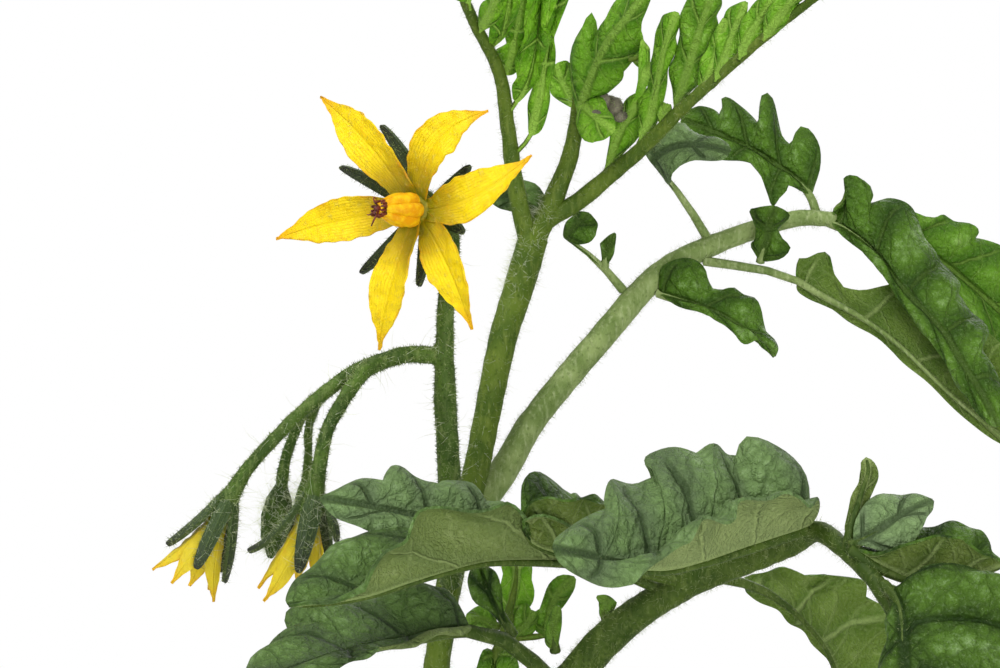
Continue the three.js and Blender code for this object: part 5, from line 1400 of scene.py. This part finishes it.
HANGING_FLOWERS = dict(
    left=dict(
        base=[-25.3, -14, 315.4], axis=[-0.43, 0, -0.9],
        petals=[
            dict(tip=[-33.4, -15, 308.3], middle=[-29.6, -15.5, 311.2]),
            dict(tip=[-31, -17, 306.9], middle=[-28.4, -16.8, 310.6]),
            dict(tip=[-29.6, -11.5, 306.1], middle=[-27.8, -12, 309.8]),
            dict(tip=[-26.4, -15.5, 304.7], middle=[-26.2, -16, 309.4]),
            dict(tip=[-27.4, -11, 305.6], middle=[-26.4, -12, 309.6]),
        ],
        sepals=[
            dict(tip=[-31.8, -14.6, 311.1], middle=[-28.7, -15, 313.6]),
            dict(tip=[-28.2, -17.6, 308.6], middle=[-27, -17, 311.3]),
            dict(tip=[-25.3, -14.6, 306.8], middle=[-24.4, -15, 310.8]),
            dict(tip=[-29.6, -10.8, 309.8], middle=[-27.8, -11.4, 312]),
            dict(tip=[-26, -10.2, 307.6], middle=[-25.6, -11, 311.2]),
        ],
    ),
    right=dict(
        base=[-15.2, -17, 316.1], axis=[-0.27, 0, -0.96],
        petals=[
            dict(tip=[-21.2, -17.5, 306.4], middle=[-18.2, -18, 311.2]),
            dict(tip=[-20.4, -19.4, 305.1], middle=[-17.6, -19.2, 309.6]),
            dict(tip=[-17.1, -14.4, 306.9], middle=[-16.4, -14.8, 310.6]),
            dict(tip=[-14.5, -18.6, 305.9], middle=[-14.4, -18.6, 310.6]),
            dict(tip=[-15, -14, 306.4], middle=[-14.6, -14.8, 310.6]),
        ],
        sepals=[
            dict(tip=[-22.3, -17.8, 310.6], middle=[-19.2, -18, 312.8], width=1.2),
            dict(tip=[-16.5, -20.6, 308.4], middle=[-15.7, -20, 312.2], width=2.2),
            dict(tip=[-12.4, -17.2, 311.6], middle=[-12.6, -17.6, 313.8]),
            dict(tip=[-13.6, -13.6, 309.8], middle=[-13.8, -14, 312.6]),
            dict(tip=[-18.4, -13.6, 310], middle=[-17.2, -14, 312.8]),
        ],
    ),
)
BUDS = [
    dict(base=[-19.2, -10, 317.4], tip=[-20.6, -9, 308.9], radius=1.7),
    dict(base=[-16.6, -6, 317.6], tip=[-17, -5.6, 312.6], radius=1.2),
]
TIP_BUDS = dict(centre=[19.4, 6.5, 361.9], shoot=[15.8, 8, 362.5], reach=2.0, count=10, size=1.3)
LOWER_LEAVES = [
    dict(height=141, turn=205, reach=84, slope=0.5, sag=0.66, size=42),
    dict(height=165, turn=62, reach=98, slope=0.62, sag=0.7, size=50),
    dict(height=192, turn=292, reach=104, slope=0.52, sag=0.68, size=54),
    dict(height=221, turn=158, reach=104, slope=0.5, sag=0.64, size=52),
    dict(height=248, turn=20, reach=96, slope=0.4, sag=0.62, size=48),
]


# ---- Stem and leaves ----
def near_fork(centres, normals):
    """The inner sides of the stem where it forks, which are the hairiest."""
    return (abs(centres[:, 2] - FORK_HEIGHT) < 7) & (normals[:, 2] > 0.1)


def hairy_top(centres, normals):
    return centres[:, 2] > HAIRY_FROM


def lower_stem(centres, normals):
    """The stem from just above the soil up to its hairy top."""
    return (centres[:, 2] > SOIL["top"] + 5) & (centres[:, 2] <= HAIRY_FROM)


def calyx_part(centres, normals):
    """The calyxes of the hanging flowers, without the open flower's."""
    return centres[:, 2] < CALYX_TOP


def main_stem():
    """The stem and the growing shoot, with their down, longer hairs and the hairy fork."""
    piece = stalks("stem", [(STEM, STEM_RADII), (SHOOT, SHOOT_RADII)], STALK, 0.42, 6)
    down = hairs(piece, 5.0, 0.6, 11, 0.014, lean=0.6, where=hairy_top, bend=0.4, material=DOWN)
    long = hairs(piece, 0.5, 1.5, 13, 0.016, lean=0.5, where=hairy_top, bend=0.4)
    fork = hairs(piece, 5.0, 1.5, 14, 0.016, lean=0.4, where=near_fork, bend=0.3)
    lower = hairs(piece, 1.5, 1.0, 12, 0.022, lean=0.4, where=lower_stem, material=DOWN)
    settle(join([piece, down, long, fork, lower]), "stem", "main_stem")


def leaf(name, node, spec, age, seed, fuzz=1.0, stalk=None):
    """A leaf: its blades, their midribs, its stalk and the down on all of them, joined into one piece. age
    runs from 0, mature, to 1, and fuzz is the share of the usual down."""
    blades = Form()
    ribs = Form()
    for i, one in enumerate(spec["leaflets"]):
        midrib, normal, t = (drawn_blade if "mid" in one else blade)(blades, one, seed + i, age)
        width = one.get("stalk", STALK_WIDTH * (1 - 0.58 * age))
        midrib_tube(ribs, midrib, normal, t, width / 2, age)
    sheet = blades.make(name + "_blades", [LEAF_TOP, LEAF_UNDER])
    ribs = ribs.make(name + "_ribs", [stalk or STALK])
    route = stalks(name + "_stalk", [(spec["route"], spec["radii"])], stalk or STALK)
    down = hairs(ribs, 5 * fuzz, 0.6, seed + 100, 0.016, material=DOWN)
    long = hairs(route, 5 * fuzz, 0.7, seed + 200, 0.015, bend=0.3, material=DOWN)
    apply(sheet, "SOLIDIFY", thickness=LEAF_THICKNESS, offset=0.0, material_offset=1)
    short = hairs(sheet, 1.6 * fuzz, 0.32, seed + 300, 0.0125, lean=0.8, material=DOWN)
    settle(join([sheet, ribs, route, down, long, short]), name, node)


def stem_at(height):
    """The point of the stem's middle at a height."""
    line = smooth_line(STEM)
    return np.array([np.interp(height, line[:, 2], line[:, k]) for k in range(3)])


def lower_leaf(index, height, turn, reach, slope, sag, size):
    """A lower leaf by rule: an arching stalk, leaflets in pairs, small ones between them, and one at the
    end."""
    angle = math.radians(turn)
    out = np.array([math.cos(angle), math.sin(angle), 0.0])
    side = np.array([-out[1], out[0], 0.0])
    root = stem_at(height)

    def vary(k):
        return math.sin(7.3 * k + 2.1 * index)

    def on_stalk(s):
        spot = root + out * reach * s + side * 5 * s * s * vary(0)
        spot[2] = height + reach * (slope * s - sag * s * s)
        return spot

    leaflets = []

    def grow(s, way, length, width, drop, more, k):
        base = on_stalk(s)
        heading = out * (1 if way == 0 else 0.5) + side * way * (0.84 + 0.1 * vary(k))
        tip = base + heading * length
        tip[2] -= length * (drop + 0.12 * vary(k + 5))
        middle = (base + tip) / 2
        middle[2] += length * (0.1 + 0.03 * vary(k + 9))
        face = [0.25 * vary(k + 3) + 0.2 * heading[0], 0.25 * vary(k + 4) + 0.2 * heading[1], 1]
        leaflets.append(dict(base=base, middle=middle, tip=tip, width=width, face=face, **more))

    for i, s in enumerate([0.44, 0.76]):
        for j, way in enumerate([-1, 1]):
            length = size * (0.92 + 0.1 * i + 0.06 * vary(3 * i + j))
            grow(s + 0.03 * j, way, length, length * 0.64, 0.24, dict(bare=0.14), 3 * i + j + 1)
    for j, way in enumerate([-1, 1]):
        grow(0.6 + 0.04 * j, way, size * 0.27, size * 0.17, 0.05, SMALL_LEAFLET, 4 * j + 2)
    grow(0.985, 0, size * 1.15, size * 0.76, 0.55, dict(lobes=4, bare=0.06), 20)
    route = [on_stalk(s) for s in [0, 0.12, 0.3, 0.5, 0.7, 0.85, 1]]
    return dict(route=route, radii=[2.1, 1.7, 1.5, 1.3, 1.1, 0.9], leaflets=leaflets)


# ---- Flowers ----
def petals_piece(form, name, finish):
    piece = form.make(name, [finish])
    apply(piece, "SOLIDIFY", thickness=PETAL_THICKNESS, offset=0.0)
    return piece


def anther_cone(centre, axis):
    """The anthers, grown together into a ribbed cone, with their brown tips and the curling threads at
    its mouth."""
    cone = Form()

    def ribs(t, turn):
        return 0.72 + 0.3 * np.abs(np.cos(3 * turn + 0.25 * t)) ** 0.5 * (1 - 0.3 * t)

    turned(cone, centre, axis, ANTHER_CONE, 120, ribs)
    x = unit(np.cross([0, 0, 1], axis))
    y = np.cross(axis, x)
    chance = np.random.default_rng(5)
    for k in range(12):
        a = math.pi * (k + 0.5) / 6
        out = x * math.cos(a) + y * math.sin(a)
        foot = centre + axis * chance.uniform(5.9, 6.7) + out * 0.74
        bow = out * chance.uniform(0.05, 0.35)
        thread = [foot, foot + axis * 0.35 + bow, foot + axis * 0.75 + bow * 0.6, foot + axis * 0.8]
        tube(cone, smooth_line(thread, 0.12), [0.24, 0.2, 0.15, 0.09], 8, 1)
    tube(cone, [centre + axis * 6.5, centre + axis * 7.1, centre + axis * 7.5], [0.42, 0.34, 0.26], 12, 1)
    for down, over in [(1.9, 1.2), (0.7, 1.9), (-1.2, 0.5)]:
        thread = [
            centre + axis * 6.6,
            centre + axis * 7.6 - y * down * 0.6,
            centre + axis * 7.4 - y * down - x * over * 0.5,
            centre + axis * 6.6 - y * down * 0.9 - x * over,
        ]
        tube(cone, smooth_line(thread, 0.2), [0.15, 0.1, 0.06], 6, 1)
    piece = cone.make("anthers", [ANTHER, ANTHER_TIP])
    settle(piece, "anther_cone_and_style", "anther_cone", 75)


def open_flower():
    """The open flower: six petals on a small disc. Returns its sepals, which belong to the truss."""
    centre = np.array(OPEN_FLOWER["centre"])
    axis = unit(OPEN_FLOWER["axis"])

    def inwards(spot, out):
        return centre + unit(np.array(spot) - centre) * out

    petals = Form()
    for i, petal in enumerate(OPEN_PETALS):
        spec = dict(
            SMOOTH, base=inwards(petal["middle"], 0.6), middle=petal["middle"], tip=petal["tip"],
            width=4.5, face=axis, fold=[-4, 16, 12], outline=petal_outline, frill=0.14, curl=-0.1,
            wave=0.05, crinkle=0.32,
        )
        blade(petals, spec, 40 + i)
    sheet = petals_piece(petals, "petals", PETAL)
    disc = Form()
    turned(disc, centre, axis, [[-0.5, 2.1], [0.2, 1.9], [0.7, 1.4]], 48)
    both = join([sheet, disc.make("disc", [PETAL])])
    settle(both, "open_flower_petals", "corolla_open")
    anther_cone(centre, axis)

    sepals = Form()
    for i, sepal in enumerate(OPEN_SEPALS):
        spec = dict(
            SMOOTH, base=inwards(sepal["middle"], 1.4) - axis * 1.5,
            middle=np.array(sepal["middle"]) - axis * 0.9, tip=sepal["tip"], width=1.8, face=axis,
            fold=[0, 12], outline=sepal_outline,
        )
        blade(sepals, spec, 60 + i)
    turned(sepals, centre, axis, [[-3.2, 0.9], [-2.2, 1.7], [-0.9, 2.2], [-0.7, 1.6]], 32)
    return sepals


def part_of(flower, part, radius, height):
    """The foot of a petal or sepal beside the flower's axis, and the way it faces outwards."""
    centre, z = np.array(flower["base"], float), unit(flower["axis"])
    off = np.array(part["middle"], float) - centre
    out = unit(off - z * (off @ z))
    return centre + z * height + out * radius, out


def hanging_flower(side, flower, sepals):
    """A half-open flower: petals spread from a tube, and its sepals, which go to the truss, clasp
    them."""
    petals = Form()
    for i, petal in enumerate(flower["petals"]):
        base, out = part_of(flower, petal, 0.9, 1.4)
        spec = dict(
            SMOOTH, base=base, middle=petal["middle"], tip=petal["tip"], width=2.0, face=-out,
            fold=[20, 26, 6], outline=petal_outline, frill=0.06, crinkle=0.2,
        )
        blade(petals, spec, 80 + i)
    sheet = petals_piece(petals, "petals_" + side, PETAL_FOLDED)
    throat = Form()
    turned(throat, flower["base"], flower["axis"], [[0.8, 0.9], [2.0, 1.3], [4.6, 1.15]], 32)
    piece = join([sheet, throat.make("tube_" + side, [PETAL_FOLDED])])
    settle(piece, "half_open_petals_" + side, "corolla_" + side)
    for i, sepal in enumerate(flower["sepals"]):
        base, out = part_of(flower, sepal, 1.15, -0.8)
        spec = dict(
            SMOOTH, base=base, middle=sepal["middle"], tip=sepal["tip"], width=sepal.get("width", 1.7),
            face=out, fold=[-15, -5], outline=sepal_outline,
        )
        blade(sepals, spec, 90 + i)


def bud(form, base, tip, radius):
    """A closed bud with five blunt ribs."""
    base = np.array(base, float)
    axis = np.array(tip, float) - base
    length = np.linalg.norm(axis)
    profile = [
        [-0.4, 0.6], [length * 0.18, radius * 0.85], [length * 0.42, radius],
        [length * 0.72, radius * 0.8], [length * 0.97, 0.3],
    ]
    turned(form, base, axis, profile, 40, lambda t, turn: 1 + 0.13 * np.cos(5 * turn) * (0.4 + t))


def truss():
    """The truss: its flowers, their calyxes, two closed buds, its stems and all their hairs."""
    sepals = open_flower()
    for side, flower in HANGING_FLOWERS.items():
        hanging_flower(side, flower, sepals)
    green = sepals.make("sepals", [SEPAL])
    apply(green, "SOLIDIFY", thickness=SEPAL_THICKNESS, offset=0.0)
    buds = Form()
    for one in BUDS:
        bud(buds, **one)
    buds = buds.make("buds", [SEPAL_GREEN])
    routes = [(stem["route"], stem["radii"]) for stem in TRUSS_STEMS]
    stems = stalks("truss_stems", routes, TRUSS_STALK, 0.28, 4)
    fuzz = [
        hairs(stems, 13.0, 0.38, 21, 0.055, lean=0.5, material=BRISTLE),
        hairs(stems, 0.45, 2.6, 22, 0.02, lean=0.6, bend=0.5),
        hairs(green, 9.0, 0.55, 23, 0.037, lean=0.6, material=BRISTLE),
        hairs(green, 2.2, 1.5, 26, 0.016, lean=0.8, where=calyx_part, bend=0.9),
        hairs(buds, 7.0, 1.9, 24, 0.018, lean=0.8, bend=0.9),
    ]
    settle(join([stems, green, buds, *fuzz]), "flower_truss", "truss")


# ---- Pot and soil ----
def inner_radius(z):
    """The radius of the pot's inside at a height."""
    share = (z - POT["floor"]) / (POT["height"] - POT["floor"])
    return POT["foot"] + (POT["body"] - POT["foot"]) * share - POT["wall"] + 2


def arc(centre, radius, start, end, count=5):
    """Points on an arc, between two angles in degrees."""
    angles = np.radians(np.linspace(start, end, count))
    return [[centre[0] + radius * math.cos(a), centre[1] + radius * math.sin(a)] for a in angles]


def pot_profile():
    """Half the pot's section as [radius, height], from the middle of its foot, over its rim, to its
    inside floor. The walls waver a little, as turned clay does."""
    p = POT
    rim_foot = p["height"] - p["rim_height"]
    rim_low = p["rim"] - p["flare"]

    def outside(z):
        return p["foot"] + (p["body"] - p["foot"]) * z / p["height"]

    body = [
        [outside(z) + 0.16 * math.sin(1.3 * z) * math.sin(0.21 * z), z]
        for z in np.linspace(3.5, rim_foot - 2.2, 48)
    ]
    rim = [
        [rim_low + p["flare"] * s + 0.12 * math.sin(9 * s), rim_foot + 2.4 + (p["rim_height"] - 5) * s]
        for s in np.linspace(0, 1, 14)
    ]
    inside = [
        [inner_radius(z) + 0.12 * math.sin(1.1 * z), z]
        for z in np.linspace(p["height"] - 3, p["floor"] + 2, 40)
    ]
    foot_edge = arc([p["foot"] - 2.4, 2.4], 2.4, -80, 0)
    rim_edge = arc([rim_low - 1.4, rim_foot + 1.4], 1.4, -90, 0)
    lip = arc([p["rim"] - 2.2, p["height"] - 2.2], 2.2, 0, 90)
    lip += arc([inner_radius(p["height"]) + 2.2, p["height"] - 2.2], 2.2, 90, 180)
    return [
        [0.0, 0.0], [p["foot"] - 2.5, 0.0], *foot_edge, *body,
        [outside(rim_foot) - 0.2, rim_foot - 1.2], *rim_edge, *rim, *lip,
        *inside, [inner_radius(p["floor"]) - 2, p["floor"]], [0.0, p["floor"]],
    ]


def pot():
    """The pot: its section spun round, with drain holes drilled through its floor."""
    profile = pot_profile()
    mesh = bpy.data.meshes.new("pot")
    edges = [(i, i + 1) for i in range(len(profile) - 1)]
    mesh.from_pydata([(r, 0.0, z) for r, z in profile], edges, [])
    mesh.materials.append(CLAY)
    piece = bpy.data.objects.new("pot", mesh)
    bpy.context.collection.objects.link(piece)
    choose([piece])
    bpy.ops.object.mode_set(mode="EDIT")
    bpy.ops.mesh.select_all(action="SELECT")
    bpy.ops.mesh.spin(steps=120, angle=2 * math.pi, center=(0, 0, 0), axis=(0, 0, 1))
    bpy.ops.object.mode_set(mode="OBJECT")
    outwards(piece)
    for k in range(POT["holes"]):
        a = 2 * math.pi * k / POT["holes"]
        spot = (POT["hole_circle"] * math.cos(a), POT["hole_circle"] * math.sin(a), POT["floor"] / 2)
        bpy.ops.mesh.primitive_cylinder_add(
            vertices=40, radius=POT["hole"], depth=3 * POT["floor"], location=spot
        )
        drill = bpy.context.active_object
        apply(piece, "BOOLEAN", operation="DIFFERENCE", object=drill, solver="EXACT")
        bpy.data.objects.remove(drill)
    apply(piece, "BEVEL", width=0.5, segments=2, limit_method="ANGLE", angle_limit=math.radians(70))
    settle(piece, "clay_pot", "pot", 45)


def soil_height(x, y):
    """The height of the soil: a low crown round the stem, and soft lumps."""
    r = np.hypot(x, y)
    lumps = np.sin(0.31 * x + 1.7) * np.cos(0.27 * y - 0.6) + 0.6 * np.sin(0.53 * x - 0.41 * y)
    return SOIL["top"] + SOIL["crown"] * np.exp(-r * r / 500) + SOIL["lump"] * lumps


def rough_height(x, y):
    rough = noise.fractal((x * 0.12, y * 0.12, 3.0), 0.8, 2.1, 5)
    return float(soil_height(x, y)) + 0.9 * rough


def soil_bed(top_radius):
    """The body of soil: rings from under its foot, up its side and over its rough top."""
    rings, sides = 72, 150
    turn = 2 * np.pi * np.arange(sides) / sides
    points = []
    low, floor = inner_radius(POT["floor"]) - 0.6, POT["floor"]
    for radius, z in [(low - 1.5, floor + 0.3), (low, floor + 2), (top_radius, SOIL["top"] - 7)]:
        points += [(radius * math.cos(a), radius * math.sin(a), z) for a in turn]
    for radius in top_radius * np.linspace(1, 0.02, rings):
        for a in turn:
            x, y = radius * math.cos(a), radius * math.sin(a)
            points.append((x, y, rough_height(x, y)))
    rows = rings + 3
    faces = ring_faces(rows, sides)
    faces.append(tuple(reversed(range(sides))))
    faces.append(tuple((rows - 1) * sides + k for k in range(sides)))
    bed = Form()
    bed.add(points, faces)
    bed = bed.make("soil_bed", [EARTH])
    outwards(bed)
    return bed


def soil():
    """The soil, with loose crumbs, pale grains and bark fibres on it."""
    top_radius = inner_radius(SOIL["top"] - 4) - 0.4
    bed = soil_bed(top_radius)
    chance = np.random.default_rng(7)
    bits = Form()
    for count, small, large, finish in CRUMBS:
        for _ in range(count):
            radius = top_radius * math.sqrt(chance.uniform(0.006, 0.93))
            a = chance.uniform(0, 2 * math.pi)
            x, y = radius * math.cos(a), radius * math.sin(a)
            size = chance.uniform(small, large)
            squash = chance.uniform(0.7, 1.2, 2)
            wobble = chance.uniform(0, 6.28, 3)

            def lump(t, turn, w=wobble):
                return 1 + 0.2 * np.sin(2 * turn + w[0]) + 0.15 * np.sin(7 * t + w[1])

            spot = [x, y, rough_height(x, y) + size * 0.15]
            ball(bits, spot, size * squash, chance.normal(size=3), lump, 4, 6, finish)
    for _ in range(FIBRES):
        radius = top_radius * math.sqrt(chance.uniform(0.02, 0.85))
        a = chance.uniform(0, 2 * math.pi)
        way, long = chance.uniform(0, 2 * math.pi), chance.uniform(3, 9)
        route = []
        for s in (-0.5, -0.15, 0.2, 0.5):
            x = radius * math.cos(a) + long * s * math.cos(way + s)
            y = radius * math.sin(a) + long * s * math.sin(way + s)
            route.append([x, y, rough_height(x, y) + 0.25])
        tube(bits, smooth_line(route, 0.8), [0.2, 0.42, 0.36, 0.18], 6, 1)
    bits = bits.make("soil_bits", [CRUMB, FIBRE, PERLITE])
    settle(join([bed, bits]), "potting_soil", "soil", 35)


# ---- The whole plant ----
def tip_buds():
    """The close cluster of very young buds at the growing tip, each on a short stalk."""
    chance = np.random.default_rng(31)
    centre = np.array(TIP_BUDS["centre"])
    foot = centre * 0.7 + np.array(TIP_BUDS["shoot"]) * 0.3

    def ribs(t, turn):
        return 1 + 0.1 * np.cos(5 * turn)

    cluster = Form()
    for _ in range(TIP_BUDS["count"]):
        way = unit(chance.normal(size=3) * [1, 0.6, 1.2])
        size = TIP_BUDS["size"] * chance.uniform(0.6, 1.05)
        spot = centre + way * TIP_BUDS["reach"] * chance.uniform(0.5, 1)
        ball(cluster, spot, [size * 0.75, size], way + [0, 0, 0.6], ribs)
        tube(cluster, smooth_line([foot, spot], 0.6), [0.5, 0.35], 6)
    piece = cluster.make("tip_buds", [BUD_GREEN])
    down = hairs(piece, 7.0, 0.6, 32, 0.018, lean=0.6, bend=0.4, material=DOWN)
    settle(join([piece, down]), "tip_bud_cluster", None)


pot()
soil()
main_stem()
for i, sizes in enumerate(LOWER_LEAVES):
    spec = lower_leaf(i, **sizes)
    name, node = f"lower_leaf_{i + 1}", f"leaf_lower_{i + 1}"
    leaf(name, node, spec, age=0.12, seed=1000 + 50 * i, fuzz=0.35)
leaf("front_leaf", "leaf_front", FRONT_LEAF, age=0.0, seed=100, stalk=SHADED_STALK)
leaf("right_leaf", "leaf_right", RIGHT_LEAF, age=0.12, seed=150, stalk=BACKLIT_PALE_STALK)
leaf("young_leaf_left", "leaf_upper_left", YOUNG_LEFT_LEAF, age=0.9, seed=200)
leaf("young_leaf_right", "leaf_upper_right", YOUNG_RIGHT_LEAF, age=0.75, seed=250)
leaf("tip_leaf", "leaf_tip", TIP_LEAF, age=0.8, seed=300)
leaf("side_shoot_leaves", "side_shoot", SIDE_SHOOT, age=0.35, seed=350)
truss()
tip_buds()


# ---- Stage ----
def floor_finish():
    """A pale floor that fades out well away from the plant."""
    f = Finish("pale_floor")
    spot = f.place()
    x, y = f.parts(spot)[:2]
    far = f.math("SQRT", x * x + y * y)
    grain = f.noise(spot, 0.02, 3.0)
    colour = f.mix(grain, paint("f1f1ef"), paint("f6f6f4"))
    body = f.surface(base_color=colour, roughness=0.7 + grain * 0.1)
    clear = f.node("ShaderNodeBsdfTransparent")
    faded = f.ease(far, FLOOR["fade_from"], FLOOR["fade_to"])
    return f.finish(f.node("ShaderNodeMixShader", inputs={0: faded, 1: body, 2: clear}))


def stage():
    """The floor and three lamps."""
    low, wide = METRE * FLOOR["height"], METRE * FLOOR["radius"]
    bpy.ops.mesh.primitive_circle_add(vertices=96, radius=wide, fill_type="NGON", location=(0, 0, low))
    floor = bpy.context.active_object
    floor.name = "floor"
    floor.data.materials.append(floor_finish())
    for name, lamp in LAMPS.items():
        light = bpy.data.lights.new(name, "AREA")
        light.size = METRE * lamp["size"]
        light.energy = lamp["power"]
        body = bpy.data.objects.new(name, light)
        bpy.context.collection.objects.link(body)
        body.location = [METRE * part for part in lamp["place"]]
        body.rotation_mode = "QUATERNION"
        aim = np.array(LAMPS_AIM) - np.array(lamp["place"])
        body.rotation_quaternion = Vector(aim.tolist()).to_track_quat("-Z", "Y")


def studio():
    """A white surround for the camera, which lights the plant more softly than it looks."""
    world = bpy.data.worlds.new("studio")
    world.use_nodes = True
    tree = world.node_tree
    sky = tree.nodes["Background"]
    sky.inputs["Color"].default_value = (1, 1, 1, 1)
    ray = tree.nodes.new("ShaderNodeLightPath")
    strength = tree.nodes.new("ShaderNodeMapRange")
    strength.inputs["To Min"].default_value = SURROUND_LIGHT
    tree.links.new(ray.outputs["Is Camera Ray"], strength.inputs["Value"])
    tree.links.new(strength.outputs["Result"], sky.inputs["Strength"])
    bpy.context.scene.world = world
    bpy.context.scene.view_settings.view_transform = "Standard"


def camera():
    lens = bpy.data.cameras.new("camera")
    lens.lens = CAMERA["lens"]
    lens.sensor_width = CAMERA["sensor"]
    lens.clip_start = 0.01
    lens.clip_end = 20
    eye = bpy.data.objects.new("camera", lens)
    bpy.context.collection.objects.link(eye)
    eye.location = [METRE * part for part in CAMERA["place"]]
    eye.rotation_euler = (math.pi / 2, 0, 0)
    bpy.context.scene.camera = eye


camera()
stage()
studio()
